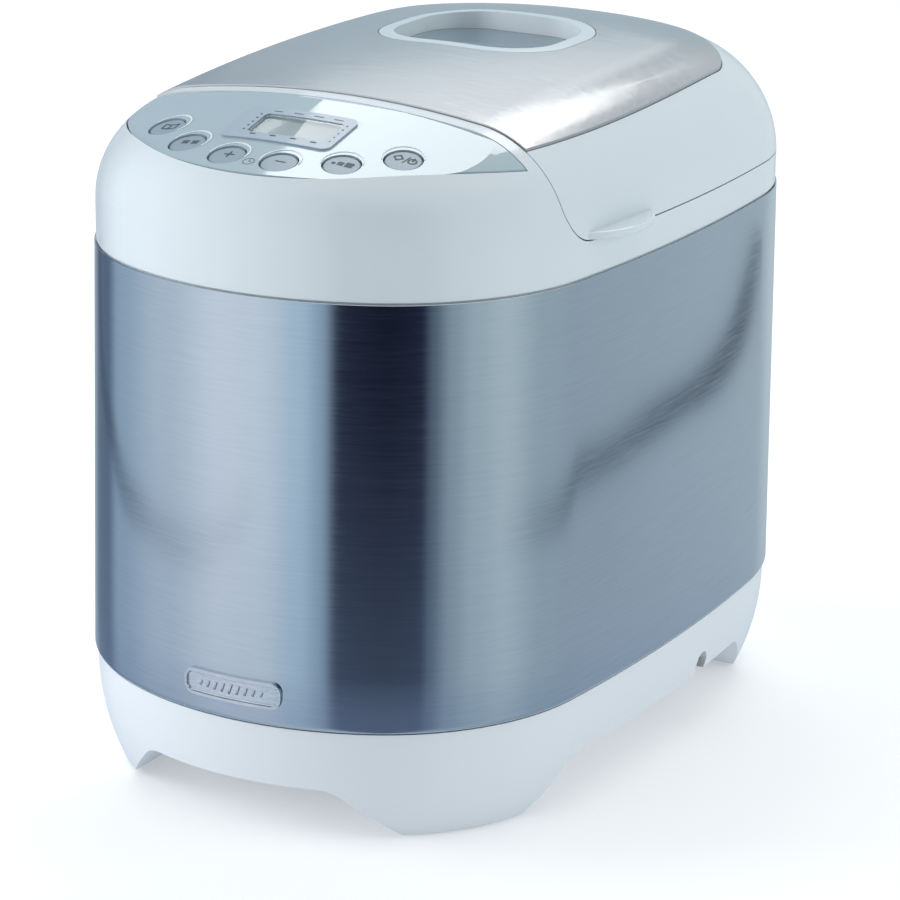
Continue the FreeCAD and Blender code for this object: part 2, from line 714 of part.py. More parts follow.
def panel_lens(grow):
    """The panel's plan: a circle's segment, rounded in front and straight behind."""
    radius = half_width - size("panel_radius_margin")
    centre_y = -half_depth + size("panel_front_margin") + radius
    disc = Part.makeCylinder(radius + grow, TALL - steel_top, Vector(0, centre_y, steel_top))
    return disc.common(slab(-2 * half_depth, lid_front - size("panel_back_margin") + grow))


def on_slope(half_x, half_u, radius, x, y, above, below):
    """A rounded block square to the panel's slope, centred over a point of the panel."""
    raw = Part.makeBox(2 * half_x, 2 * half_u, above + below, Vector(-half_x, -half_u, -below))
    upright = [edge for edge in raw.Edges if abs(edge.Vertexes[0].Z - edge.Vertexes[1].Z) > 1e-6]
    shape = raw.makeFillet(radius, upright)
    top = panel_point(0.0, y)
    shape.Placement = Placement(Vector(x, top.y, top.z), Rotation(Vector(1, 0, 0), math.degrees(slope)))
    return shape


display_y = size("display_place") - half_depth - 0.2


def button_hole(x, y):
    radius = size("button_radius") + size("button_gap")
    way = panel_axis(x)
    return Part.makeCylinder(radius, 30, panel_point(x, y) - way * 15, way)


def button_places():
    return [(name, x, behind - half_depth) for name, x, behind in BUTTONS]


# ---------------------------------------------------------------- upper housing and panel

def lid_region(back, low, corner, reach=TALL):
    """The space of the lid: behind a front plane and above the seam, its lower front corner rounded."""
    box = slab(back, 2 * half_depth, low, reach)
    front_low = [edge for edge in box.Edges
                 if all(abs(end.Y - back) < 1e-6 and abs(end.Z - low) < 1e-6 for end in edge.Vertexes)]
    return box.makeFillet(corner, front_low) if corner > 0.1 else box


def hinge_notch_half():
    """Half width over which the tail's wall lies behind the hinge axis, with room beside it."""
    beyond = nose_radius - size("hinge_inset")
    return math.sqrt(nose_radius ** 2 - beyond ** 2) + 3


def upper_housing(outer, bed, bed_low):
    shell = outer.cut(form(shell_wall, steel_top - 1))
    inside = outer.common(prism(-shell_wall / 2, steel_top, TALL))
    deck = inside.common(slab(lid_front - seam_gap - shell_wall, 2 * half_depth, deck_bottom, deck_top))
    bulkhead = inside.common(slab(lid_front - seam_gap - shell_wall, lid_front - seam_gap, deck_bottom, TALL))
    spigot_grow = size("steel_proud") - size("steel_sheet") - fit_gap
    spigot_foot = steel_top - 9
    spigot = prism(spigot_grow, spigot_foot, steel_top + 1)
    spigot = spigot.cut(prism(-shell_wall, spigot_foot - 1, steel_top + 2))
    shape = shell.fuse([deck, bulkhead, spigot])
    groove = prism(1.0, steel_top, steel_top + size("groove_height"))
    shape = shape.cut(groove.cut(prism(-size("groove_depth"), steel_top - 1, TALL)))
    shape = shape.cut(lid_region(lid_front - seam_gap, lid_seam - seam_gap, size("lid_corner") + seam_gap))
    opening = size("deck_margin") + oven_sheet
    shape = shape.cut(rounded_box(oven_half_x + opening, oven_half_y + opening, size("oven_corner") + opening,
                                  deck_bottom - 1, deck_top + 1, 0.0, oven_y))
    lens = panel_lens(size("panel_gap"))
    shape = shape.cut(lens.cut(bed)).fuse(lens.common(bed).cut(bed_low)).removeSplitter()
    for name, x, y in button_places():
        shape = shape.cut(button_hole(x, y))
    shape = shape.cut(on_slope(size("display_half_width") - 2, size("display_half_length") - 2, 2.0,
                               0.0, display_y, 15.0, 15.0))
    notch = hinge_notch_half()
    recess = Part.makeBox(2 * notch, 60, TALL - deck_top - 2, Vector(-notch, hinge_y - 8, deck_top + 2))
    shape = shape.cut(recess)
    solid_feature("upper_housing", shape)


def control_panel(outer, bed):
    top = outer.common(panel_below(0.0))
    shape = panel_lens(0.0).common(top).cut(bed)
    for name, x, y in button_places():
        shape = shape.cut(button_hole(x, y))
    solid_feature("control_panel", shape.cut(lens_opening()))


def lens_opening():
    """The space of the display's window, through the panel and its frame."""
    return on_slope(size("lens_half_width"), size("lens_half_length"), 2.0,
                    size("lens_shift"), display_y, 15.0, 15.0)


def display():
    shrink = Length(0.2)
    outside = on_slope(size("display_half_width"), size("display_half_length"), 4.0, 0.0, display_y, 10.0, 5.0)
    raised = outside.common(panel_below(-size("display_rise"))).cut(panel_below(0.0))
    solid_feature("display_bezel", raised.cut(lens_opening()))
    lens = on_slope(size("lens_half_width") - shrink, size("lens_half_length") - shrink, 1.8,
                    size("lens_shift"), display_y, 10.0, panel_thickness)
    solid_feature("display_lens", lens.common(panel_below(-size("display_rise") / 2)))
    module = on_slope(size("display_half_width") - 3, size("display_half_length") - 3, 1.0, 0.0, display_y,
                      -panel_thickness - 0.8, size("board_depth") - 2)
    solid_feature("display_module", module)


def control_board(outer_inner):
    """The board behind the panel, cut to the form's inside, and the push switches on it."""
    top = panel_point(0.0, display_y) - panel_normal * size("board_depth")
    board = Part.makeBox(2 * half_width, 62.0, size("board_thickness"),
                         Vector(-half_width, -35.0, -size("board_thickness")))
    board.Placement = Placement(top, Rotation(Vector(1, 0, 0), math.degrees(slope)))
    solid_feature("control_board", board.common(outer_inner))
    below = Part.makeBox(600, 600, 200, Vector(-300, -300, -200))
    below.Placement = Placement(top, Rotation(Vector(1, 0, 0), math.degrees(slope)))
    switches = []
    for name, x, y in button_places():
        way = panel_axis(x)
        start = panel_thickness + panel_shelf + 2 * fit_gap + size("button_collar") + size("button_travel")
        stem = Part.makeCylinder(3.0, 40.0, panel_point(x, y) - way * start, -way)
        switches.append(stem.cut(below))
    solid_feature("push_switches", Part.makeCompound(switches))


def buttons():
    for name, x, y in button_places():
        collar_top = panel_thickness + panel_shelf + fit_gap
        bottom = collar_top + size("button_collar")
        stem, flange, edge = size("button_radius"), size("button_flange"), Length(0.6)
        corners = [
            (ZERO, -bottom),
            (flange, -bottom),
            (flange, -collar_top),
            (stem, -collar_top),
            (stem, -size("button_sink") - edge),
            (stem - edge, -size("button_sink")),
            (ZERO, -size("button_sink")),
        ]
        item = turned_body(name, corners)
        for letter in "xyz":
            item.setExpression("Placement.Base." + letter, None)
        item.Placement = Placement(panel_point(x, y), Rotation(Vector(0, 0, 1), panel_axis(x)))


# ---------------------------------------------------------------- lid

window_y = lid_front + size("window_place")


def plate_plan(shrink):
    """The lid plate's plan: straight in front, bowed sides, rounded rear corners and tail."""
    side_x = half_width - size("plate_side_margin") - shrink
    bow = Part.makeCylinder(size("plate_side_bow") - shrink, TALL - steel_top,
                            Vector(side_x - size("plate_side_bow") + shrink, 5.0, steel_top))
    other = bow.mirror(Vector(0, 0, 0), Vector(1, 0, 0))
    tail_y = half_depth - size("plate_tail_margin") - shrink
    tail_radius = size("plate_tail_radius") - shrink
    tail = Part.makeCylinder(tail_radius, TALL - steel_top, Vector(0, tail_y - tail_radius, steel_top))
    front = slab(lid_front + shrink - 0.4, 2 * half_depth, steel_top, TALL)
    ahead = slab(-2 * half_depth, tail_y - tail_radius, steel_top, TALL)
    plan = bow.common(other).common(front)
    plan = plan.common(tail.fuse(ahead))
    rear = [edge for edge in plan.Edges
            if isinstance(edge.Curve, Part.Line) and abs(edge.Vertexes[0].Z - edge.Vertexes[1].Z) > 10
            and edge.Vertexes[0].Y > 20 and abs(edge.Vertexes[0].X) > side_x / 2]
    return plan.makeFillet(size("plate_corner") - shrink, rear)


def window_plan(shrink, low, high):
    return rounded_box(size("window_half_width") - shrink, size("window_half_length") - shrink,
                       size("window_corner") - shrink, low, high, 0.0, window_y)


def steam_slots():
    count = int(size("vent_count"))
    y = half_depth - size("plate_tail_margin") - size("vent_margin")
    slots = []
    for i in range(count):
        x = (i - (count - 1) / 2) * size("vent_pitch")
        half_width_of_slot = size("vent_width") / 2
        slots.append(rounded_box(size("vent_length") / 2, half_width_of_slot, half_width_of_slot - 0.05,
                                 steel_top, TALL, x, y))
    return Part.makeCompound(slots)


boss_x = half_width - 21
BOSSES = [(boss_x, -50.0), (boss_x, 60.0), (-boss_x, -50.0), (-boss_x, 60.0)]


def lid_shell(outer, inner, plate_bed):
    inner_front = lid_front + shell_wall
    shape = outer.common(lid_region(lid_front, lid_seam, size("lid_corner")))
    hollow = inner.common(lid_region(inner_front, lid_seam - 3, max(size("lid_corner") - shell_wall, 1.0)))
    shape = shape.cut(hollow)
    for x, y in BOSSES:
        boss = Part.makeCylinder(4.0, TALL - size("liner_flange_height"),
                                 Vector(x, y, size("liner_flange_height") + size("liner_sheet")))
        hole = Part.makeCylinder(size("screw_radius"), 12.0, Vector(x, y, size("liner_flange_height")))
        shape = shape.fuse(boss.common(outer)).cut(hole)
    tab_y = lid_front + size("tab_place")
    reach, half_chord = size("tab_reach"), size("tab_length") / 2
    tab_radius = (half_chord ** 2 + reach ** 2) / (2 * reach)
    for side in (-1, 1):
        moon = Part.makeCylinder(tab_radius, size("tab_thickness"),
                                 Vector(side * (half_width + reach - tab_radius), tab_y, lid_seam))
        rim = [edge for edge in moon.Edges if isinstance(edge.Curve, Part.Circle)]
        shape = shape.fuse(moon.makeFillet(1.2, rim).cut(inner))
    notch = hinge_notch_half()
    clear = size("knuckle_radius") + 2
    gap_low = lid_seam - 5
    gap = Part.makeBox(2 * notch, 60, hinge_z + clear - gap_low, Vector(-notch, hinge_y - clear, gap_low))
    shape = shape.cut(gap)
    knuckle_half = size("knuckle_half")
    knuckle = rod(size("knuckle_radius"), (-knuckle_half, hinge_y, hinge_z), (knuckle_half, hinge_y, hinge_z))
    web = Part.makeBox(2 * knuckle_half, size("knuckle_radius") + 30, clear + 12,
                       Vector(-knuckle_half, hinge_y - size("knuckle_radius"), hinge_z))
    shape = shape.fuse([knuckle, web.common(outer)])
    bore_radius = pin_radius + bearing_gap
    shape = shape.cut(rod(bore_radius, (-half_width, hinge_y, hinge_z), (half_width, hinge_y, hinge_z)))
    shape = shape.cut(plate_plan(0.0).cut(plate_bed))
    opening = size("window_flange")
    shape = shape.cut(window_plan(opening, steel_top, TALL)).cut(steam_slots())
    solid_feature("lid_shell", shape)


def lid_plate(plate_bed):
    proud = form(-size("plate_proud"), steel_top)
    shape = plate_plan(fit_gap).common(proud).cut(plate_bed)
    shape = shape.cut(window_plan(0.0, steel_top, TALL)).cut(steam_slots())
    solid_feature("lid_plate", shape)


def window_throat(floor):
    """The tapering opening above the outer pane: a loft between two rounded rectangles."""
    top = size("crown_height") + 4

    def section(shrink, z):
        plan = window_plan(shrink, z, z + 1)
        return next(face for face in plan.Faces if abs(face.CenterOfMass.z - z) < 1e-4).OuterWire

    low = section(size("window_rim") + size("window_draft"), floor)
    return Part.makeLoft([low, section(size("window_rim"), top)], True, True)


def window(plate_bed):
    """The frame lies flush in the lid plate, on the shell's bed; the pane stands on its ledge."""
    rim_top = form(-size("plate_proud"), steel_top)
    floor, ledge = size("window_floor"), size("window_ledge")
    opening = size("window_rim") + size("window_draft")
    flange = window_plan(fit_gap, floor, TALL).common(rim_top).cut(plate_bed)
    tube = window_plan(size("window_flange") + fit_gap / 2, floor - ledge, TALL).common(rim_top)
    frame = flange.fuse(tube).cut(window_throat(floor))
    frame = frame.cut(window_plan(opening + ledge, floor - ledge - 1, floor + 1))
    solid_feature("window_frame", frame)
    pane = window_plan(opening + 0.1, floor, floor + size("pane_thickness"))
    solid_feature("window_pane", pane)
    roof = size("liner_roof") + size("liner_sheet")
    solid_feature("inner_pane", window_plan(0.0, roof, roof + size("pane_thickness")))


def lid_liner():
    sheet_metal = size("liner_sheet")
    flange_low = size("liner_flange_height")
    roof = size("liner_roof")
    half_x, half_y, radius = oven_half_x + 2, oven_half_y + 2, size("oven_corner") + 2
    flange = prism(-shell_wall - 1.6, flange_low, flange_low + sheet_metal)
    flange = flange.common(slab(lid_front + shell_wall + 1, hinge_y - 14))
    dish = rounded_box(half_x, half_y, radius, flange_low, roof + sheet_metal, 0.0, oven_y)
    hollow = rounded_box(half_x - sheet_metal, half_y - sheet_metal, radius - sheet_metal,
                         flange_low - 1, roof, 0.0, oven_y)
    shape = flange.fuse(dish).cut(hollow).cut(window_plan(size("window_rim"), flange_low, TALL))
    for x, y in BOSSES:
        shape = shape.cut(Part.makeCylinder(size("screw_radius") + 0.2, 5.0, Vector(x, y, flange_low - 2)))
    front_low = size("lid_corner") + shell_wall
    shape = shape.cut(slab(-half_depth, lid_front + front_low, 0.0, flange_low + sheet_metal + 1))
    solid_feature("lid_liner", shape)
    flange_face = size("liner_flange_height")
    items = [screw("lid_screw_%d" % i, Length(x), Length(y), flange_face, Length(9.0), -1)
             for i, (x, y) in enumerate(BOSSES)]
    group("lid_screws", items)


def hinge():
    ear_low = size("knuckle_half") + 0.5
    ear_high = ear_low + size("ear_thickness")
    base = prism(-shell_wall - fit_gap, deck_top, deck_top + 2).common(
        Part.makeBox(2 * ear_high + 20, 60, TALL, Vector(-ear_high - 10, hinge_y - 14, 0)))
    shape = base
    for side in (-1, 1):
        start = min(side * ear_low, side * ear_high)
        ear = Part.makeBox(size("ear_thickness"), 2 * (size("knuckle_radius") - 1), hinge_z - deck_top,
                           Vector(start, hinge_y - size("knuckle_radius") + 1, deck_top))
        boss = rod(size("knuckle_radius") - 1, (start, hinge_y, hinge_z),
                   (start + size("ear_thickness"), hinge_y, hinge_z))
        shape = shape.fuse([ear.common(prism(-shell_wall - fit_gap, 0, TALL)), boss])
    reach = ear_high + 1.5
    shape = shape.cut(rod(pin_radius, (-reach, hinge_y, hinge_z), (reach, hinge_y, hinge_z)))
    solid_feature("hinge_bracket", shape.removeSplitter())
    pin = keep(cylinder("hinge_rod", pin_radius, 2 * reach), "hinge_pin")
    for letter in "xyz":
        pin.setExpression("Placement.Base." + letter, None)
    pin.Placement = Placement(Vector(-reach, hinge_y, hinge_z), Rotation(Vector(0, 1, 0), 90))


# ---------------------------------------------------------------- oven

def oven_chamber():
    half_x, half_y = oven_half_x + oven_sheet, oven_half_y + oven_sheet
    radius = size("oven_corner") + oven_sheet
    top = deck_top + oven_sheet
    spread = size("deck_margin") + size("oven_flange")
    shape = rounded_box(half_x, half_y, radius, oven_floor, top, 0.0, oven_y)
    shape = shape.fuse(rounded_box(half_x + spread, half_y + spread, radius + spread, deck_top, top, 0.0, oven_y))
    shape = shape.cut(rounded_box(oven_half_x, oven_half_y, size("oven_corner"), oven_floor + oven_sheet,
                                  top + 1, 0.0, oven_y))
    shape = shape.cut(Part.makeCylinder(size("bearing_radius") + 0.1, 10, Vector(0, oven_y, oven_floor - 5)))
    for side in (-1, 1):
        x = side * size("terminal_place")
        shape = shape.cut(rod(size("heater_radius") + 2, (x, oven_front - 5, size("heater_height")),
                              (x, oven_front + 5, size("heater_height"))))
    solid_feature("oven_chamber", shape)


def heater_path():
    """The heating element's centre line: one loop round the pan with both ends out at the front."""
    bend, reach = size("heater_bend"), size("heater_margin")
    side_x, front_y, rear_y = oven_half_x - reach, oven_front + reach, oven_y + oven_half_y - reach
    end_x, turn, z = size("terminal_place"), 7.0, size("heater_height")
    spread = math.sqrt(0.5)

    def point(x, y):
        return Vector(x, y, z)

    def corner(start, centre, way, end, radius):
        middle = point(centre[0] + way[0] * radius * spread, centre[1] + way[1] * radius * spread)
        return Part.Arc(point(*start), middle, point(*end)).toShape()

    out_y = -size("terminal_reach")
    edges = []
    edges.append(Part.makeLine(point(-end_x, out_y), point(-end_x, front_y - turn)))
    edges.append(corner((-end_x, front_y - turn), (-end_x - turn, front_y - turn), (1, 1),
                        (-end_x - turn, front_y), turn))
    edges.append(Part.makeLine(point(-end_x - turn, front_y), point(-side_x + bend, front_y)))
    edges.append(corner((-side_x + bend, front_y), (-side_x + bend, front_y + bend), (-1, -1),
                        (-side_x, front_y + bend), bend))
    edges.append(Part.makeLine(point(-side_x, front_y + bend), point(-side_x, rear_y - bend)))
    edges.append(corner((-side_x, rear_y - bend), (-side_x + bend, rear_y - bend), (-1, 1),
                        (-side_x + bend, rear_y), bend))
    edges.append(Part.makeLine(point(-side_x + bend, rear_y), point(side_x - bend, rear_y)))
    edges.append(corner((side_x - bend, rear_y), (side_x - bend, rear_y - bend), (1, 1),
                        (side_x, rear_y - bend), bend))
    edges.append(Part.makeLine(point(side_x, rear_y - bend), point(side_x, front_y + bend)))
    edges.append(corner((side_x, front_y + bend), (side_x - bend, front_y + bend), (1, -1),
                        (side_x - bend, front_y), bend))
    edges.append(Part.makeLine(point(side_x - bend, front_y), point(end_x + turn, front_y)))
    edges.append(corner((end_x + turn, front_y), (end_x + turn, front_y - turn), (-1, 1),
                        (end_x, front_y - turn), turn))
    edges.append(Part.makeLine(point(end_x, front_y - turn), point(end_x, out_y)))
    return Part.Wire(edges)


def heater():
    path = heater_path()
    start = path.Edges[0].valueAt(path.Edges[0].FirstParameter)
    ring = Part.Wire([Part.makeCircle(size("heater_radius"), start, Vector(0, 1, 0))])
    tube = path.makePipeShell([ring], True, False)
    solid_feature("heating_element", tube)
    bushings = []
    for side in (-1, 1):
        x, z = side * size("terminal_place"), size("heater_height")
        outer = rod(size("heater_radius") + 2, (x, oven_front - 5, z), (x, oven_front + 1, z))
        head = rod(size("heater_radius") + 4, (x, oven_front - 5, z), (x, oven_front - oven_sheet, z))
        bore = rod(size("heater_radius"), (x, oven_front - 6, z), (x, oven_front + 2, z))
        bushings.append(outer.fuse(head).cut(bore))
    solid_feature("heater_bushings", Part.makeCompound(bushings))
    clips = []
    inner_x = oven_half_x - size("heater_margin")
    for side in (-1, 1):
        for y in (oven_y - 45, oven_y + 45):
            low_x = min(side * (inner_x - 4), side * oven_half_x)
            wire_x, wire_z = side * inner_x, size("heater_height")
            raw = Part.makeBox(size("heater_margin") + 4, 7.0, 11.0, Vector(low_x, y - 3.5, wire_z - 5.5))
            bore = rod(size("heater_radius"), (wire_x, y - 5, wire_z), (wire_x, y + 5, wire_z))
            clips.append(raw.cut(bore))
    solid_feature("heater_clips", Part.makeCompound(clips))


def oven_fittings():
    shield_y = oven_front - size("shield_place")
    block_item = block("shield_sheet", (-oven_half_x, shield_y - 0.8, chassis_top),
                       (oven_half_x, shield_y, deck_bottom - 2))
    slots = []
    for i, side in enumerate((-1, 1)):
        slot_x, slot_z = side * size("terminal_place"), size("heater_height")
        slots.append(block("shield_slot_%d" % i, (slot_x - 9, shield_y - 3, slot_z - 9),
                           (slot_x + 9, shield_y + 3, slot_z + 9)))
    keep(cut("shield_cut", block_item, fuse("shield_slots", slots)), "heat_shield")
    probe = keep(cylinder("sensor_probe", Length(4.0), Length(6.0)), "temperature_sensor")
    for letter in "xyz":
        probe.setExpression("Placement.Base." + letter, None)
    probe.Placement = Placement(Vector(30, oven_front - oven_sheet, 150), Rotation(Vector(1, 0, 0), 90))
    inside, outside = size("seat_radius"), size("seat_radius") + size("seat_wall")
    floor = oven_floor + oven_sheet
    corners = [(inside, floor), (outside + 6, floor), (outside + 6, floor + 1.5), (outside, floor + 1.5),
               (outside, floor + size("seat_height")), (inside, floor + size("seat_height"))]
    turned_body("pan_seat", corners, ZERO, oven_y)


# ---------------------------------------------------------------- bread pan

pan_half_x = oven_half_x - size("pan_clearance")
pan_half_y = oven_half_y - size("pan_clearance")
pan_floor = size("pan_floor")
pan_rim = size("pan_rim")
pan_sheet = size("pan_sheet")


def tapered_box(shrink, low, high):
    """The pan's tapering solid: a loft between two rounded rectangles."""
    def section(z):
        share = (pan_rim - z) / (pan_rim - pan_floor)
        narrow = shrink + size("pan_draft") * share
        plan = rounded_box(pan_half_x - narrow, pan_half_y - narrow, size("pan_corner") - shrink,
                           z, z + 1, 0.0, oven_y)
        return next(face for face in plan.Faces if abs(face.CenterOfMass.z - z) < 1e-4).OuterWire

    return Part.makeLoft([section(low), section(high)], True, True)


def bread_pan():
    shape = tapered_box(0.0, pan_floor, pan_rim)
    flange = size("pan_flange")
    rim = rounded_box(pan_half_x + flange, pan_half_y + flange, size("pan_corner") + flange,
                      pan_rim - pan_sheet, pan_rim, 0.0, oven_y)
    shape = shape.fuse(rim).cut(tapered_box(pan_sheet, pan_floor + pan_sheet, pan_rim + 1))
    shape = shape.cut(Part.makeCylinder(9.0, 10, Vector(0, oven_y, pan_floor - 5)))
    solid_feature("bread_pan", shape)


def pan_fittings():
    inside, outside = size("seat_radius") - 5, size("seat_radius") - 0.6
    low = oven_floor + oven_sheet + 2
    corners = [(inside, low), (outside, low), (outside, pan_floor), (inside, pan_floor)]
    turned_body("pan_foot", corners, ZERO, oven_y)
    bore = size("spindle_radius") + bearing_gap
    bush = Length(9.0)
    corners = [(bore, pan_floor - 4), (bush + 5, pan_floor - 4), (bush + 5, pan_floor), (bush, pan_floor),
               (bush, pan_floor + 3), (bore, pan_floor + 3)]
    turned_body("pan_bushing", corners, ZERO, oven_y)
    lugs = []
    wire = size("handle_wire")
    wall_x = pan_half_x - size("pan_draft") * (pan_rim - size("handle_height")) / (pan_rim - pan_floor)
    for side in (-1, 1):
        raw = Part.makeBox(10.0, 12.0, pan_rim - pan_sheet - size("handle_height") + 8,
                           Vector(side * (wall_x - 2) - (10.0 if side < 0 else 0.0), oven_y - 6,
                                  size("handle_height") - 8))
        keep_in = Part.makeBox(2 * (wall_x + 3.2), 40, TALL, Vector(-wall_x - 3.2, oven_y - 20, 0))
        lug = raw.common(keep_in).cut(tapered_box(0.0, pan_floor, pan_rim))
        bore = rod(wire + bearing_gap, (-half_width, oven_y, size("handle_height")),
                   (half_width, oven_y, size("handle_height")))
        lugs.append(lug.cut(bore))
    solid_feature("handle_lugs", Part.makeCompound(lugs))


def pan_handle():
    """A wire bail that lies round the pan just below its rim."""
    wire, z = size("handle_wire"), size("handle_height")
    arm_x = pan_half_x + size("pan_flange") + size("handle_margin")
    bar_y = oven_y + pan_half_y + size("pan_flange") + wire + 2
    stub_x = pan_half_x + 0.4
    bend = 14.0
    spread = bend * (1 - math.sqrt(0.5))
    small = 5.0
    tight = small * (1 - math.sqrt(0.5))

    def point(x, y):
        return Vector(x, y, z)

    edges = [
        Part.makeLine(point(-stub_x, oven_y), point(-arm_x + small, oven_y)),
        Part.Arc(point(-arm_x + small, oven_y), point(-arm_x + tight, oven_y + tight),
                 point(-arm_x, oven_y + small)).toShape(),
        Part.makeLine(point(-arm_x, oven_y + small), point(-arm_x, bar_y - bend)),
        Part.Arc(point(-arm_x, bar_y - bend), point(-arm_x + spread, bar_y - spread),
                 point(-arm_x + bend, bar_y)).toShape(),
        Part.makeLine(point(-arm_x + bend, bar_y), point(arm_x - bend, bar_y)),
        Part.Arc(point(arm_x - bend, bar_y), point(arm_x - spread, bar_y - spread),
                 point(arm_x, bar_y - bend)).toShape(),
        Part.makeLine(point(arm_x, bar_y - bend), point(arm_x, oven_y + small)),
        Part.Arc(point(arm_x, oven_y + small), point(arm_x - tight, oven_y + tight),
                 point(arm_x - small, oven_y)).toShape(),
        Part.makeLine(point(arm_x - small, oven_y), point(stub_x, oven_y)),
    ]
    ring = Part.Wire([Part.makeCircle(wire, point(-stub_x, oven_y), Vector(1, 0, 0))])
    solid_feature("pan_handle", Part.Wire(edges).makePipeShell([ring], True, False))


def kneader():
    radius = size("spindle_radius")
    low = pan_floor - 9
    top = pan_floor + size("paddle_height")
    hub = Length(8.5)
    corners = [(ZERO, low), (radius, low), (radius, top - 2), (ZERO, top - 2)]
    shaft_body = turned_body("spindle_shaft", corners, ZERO, oven_y)
    subparts.remove(shaft_body)
    dog = block("spindle_dog", (Length(-3.5), oven_y - 9, low), (Length(3.5), oven_y + 9, low + 4.6))
    keep(fuse("spindle_fused", [shaft_body, dog]), "pan_spindle")
    hub_low = pan_floor + 3.5
    outside = cylinder("hub_outside", hub, top - hub_low, ZERO, oven_y, hub_low)
    blade_half = size("paddle_blade") / 2
    blade = block("paddle_blade_block", (ZERO, oven_y - blade_half, hub_low + 0.5),
                  (size("paddle_reach"), oven_y + blade_half, top - 3))
    bore = cylinder("hub_bore", radius, top - 2 - hub_low, ZERO, oven_y, hub_low)
    keep(cut("paddle_cut", fuse("paddle_solid", [outside, blade]), bore), "kneading_paddle")


# ---------------------------------------------------------------- drive

def chassis():
    shape = prism(-size("chassis_inset"), chassis_bottom, chassis_top)
    seat = Vector(0, oven_y, chassis_bottom - 4)
    shape = shape.cut(Part.makeCylinder(size("bearing_radius") + 0.1, 10, seat))
    shape = shape.cut(Part.makeCylinder(22.0, 10, Vector(0, motor_y, chassis_bottom - 4)))
    for x, y in POSTS:
        shape = shape.cut(Part.makeCylinder(size("screw_radius") + 0.2, 10, Vector(x, y, chassis_bottom - 4)))
    solid_feature("chassis_plate", shape)
    items = [screw("chassis_screw_%d" % i, Length(x), Length(y), chassis_top, Length(12.0))
             for i, (x, y) in enumerate(POSTS)]
    group("chassis_screws", items)


def spindle_drive():
    bore = size("shaft_radius") + bearing_gap
    hub, pedestal = size("bearing_radius"), size("pedestal_radius")
    corners = [
        (bore, chassis_bottom - 5), (hub, chassis_bottom - 5), (hub, chassis_top),
        (pedestal, chassis_top), (pedestal, oven_floor), (hub, oven_floor),
        (hub, oven_floor + 4), (bore, oven_floor + 4),
    ]
    turned_body("spindle_bearing", corners, ZERO, oven_y)
    middle, half_belt = size("belt_height"), size("belt_width") / 2 + 1
    pulley_low, pulley_high = middle - half_belt - 2, middle + half_belt + 2
    coupler_low = oven_floor + 4.4
    coupler_high = coupler_low + 7
    rod_height = coupler_high - pulley_low
    keep(cylinder("drive_rod", size("shaft_radius"), rod_height, ZERO, oven_y, pulley_low), "drive_shaft")
    disc = cylinder("coupler_disc", Length(11.0), coupler_high - coupler_low, ZERO, oven_y, coupler_low)
    lugs = [block("coupler_lug_%d" % i, (Length(low), oven_y - 3.5, coupler_high - 1),
                  (Length(low + 4.5), oven_y + 3.5, pan_floor - 5))
            for i, low in enumerate((-10.5, 6.0))]
    bore_tool = cylinder("coupler_bore", size("shaft_radius"), coupler_high - coupler_low,
                         ZERO, oven_y, coupler_low)
    keep(cut("coupler_cut", fuse("coupler_solid", [disc] + lugs), bore_tool), "drive_coupler")
    groove, rim = size("pulley_radius"), size("pulley_radius") + size("pulley_rim")
    web = Length(3.0)
    hub_radius = Length(12.0)
    bore = size("shaft_radius")
    corners = [
        (bore, pulley_low), (hub_radius, pulley_low), (hub_radius, middle - web / 2),
        (groove - 4, middle - web / 2), (groove - 4, pulley_low), (rim, pulley_low),
        (rim, pulley_low + 2), (groove, pulley_low + 2),
        (groove, pulley_high - 2), (rim, pulley_high - 2), (rim, pulley_high),
        (groove - 4, pulley_high), (groove - 4, middle + web / 2), (hub_radius, middle + web / 2),
        (hub_radius, pulley_high), (bore, pulley_high),
    ]
    turned_body("large_pulley", corners, ZERO, oven_y)


def belt():
    """A flat belt round both pulleys: two arcs and two straight runs."""
    def loop(extra):
        big = size("pulley_radius") + size("belt_slack") + extra
        small = size("motor_pulley_radius") + size("belt_slack") + extra
        span = oven_y - motor_y
        lean = math.asin((big - small) / span)
        z = size("belt_height") - size("belt_width") / 2
        way = (math.cos(lean), -math.sin(lean))
        ends = [Vector(side * way[0] * big, oven_y + way[1] * big, z) for side in (-1, 1)]
        tips = [Vector(side * way[0] * small, motor_y + way[1] * small, z) for side in (-1, 1)]
        edges = [
            Part.makeLine(tips[0], ends[0]),
            Part.Arc(ends[0], Vector(0, oven_y + big, z), ends[1]).toShape(),
            Part.makeLine(ends[1], tips[1]),
            Part.Arc(tips[1], Vector(0, motor_y - small, z), tips[0]).toShape(),
        ]
        return Part.Face(Part.Wire(edges)).extrude(Vector(0, 0, size("belt_width")))

    solid_feature("drive_belt", loop(size("belt_thickness")).cut(loop(0.0)))


MOTOR_BOLTS = [(sx * (size("stator_half_width") - 5), sy * (size("stator_half_length") - 5))
               for sx in (-1, 1) for sy in (-1, 1)]


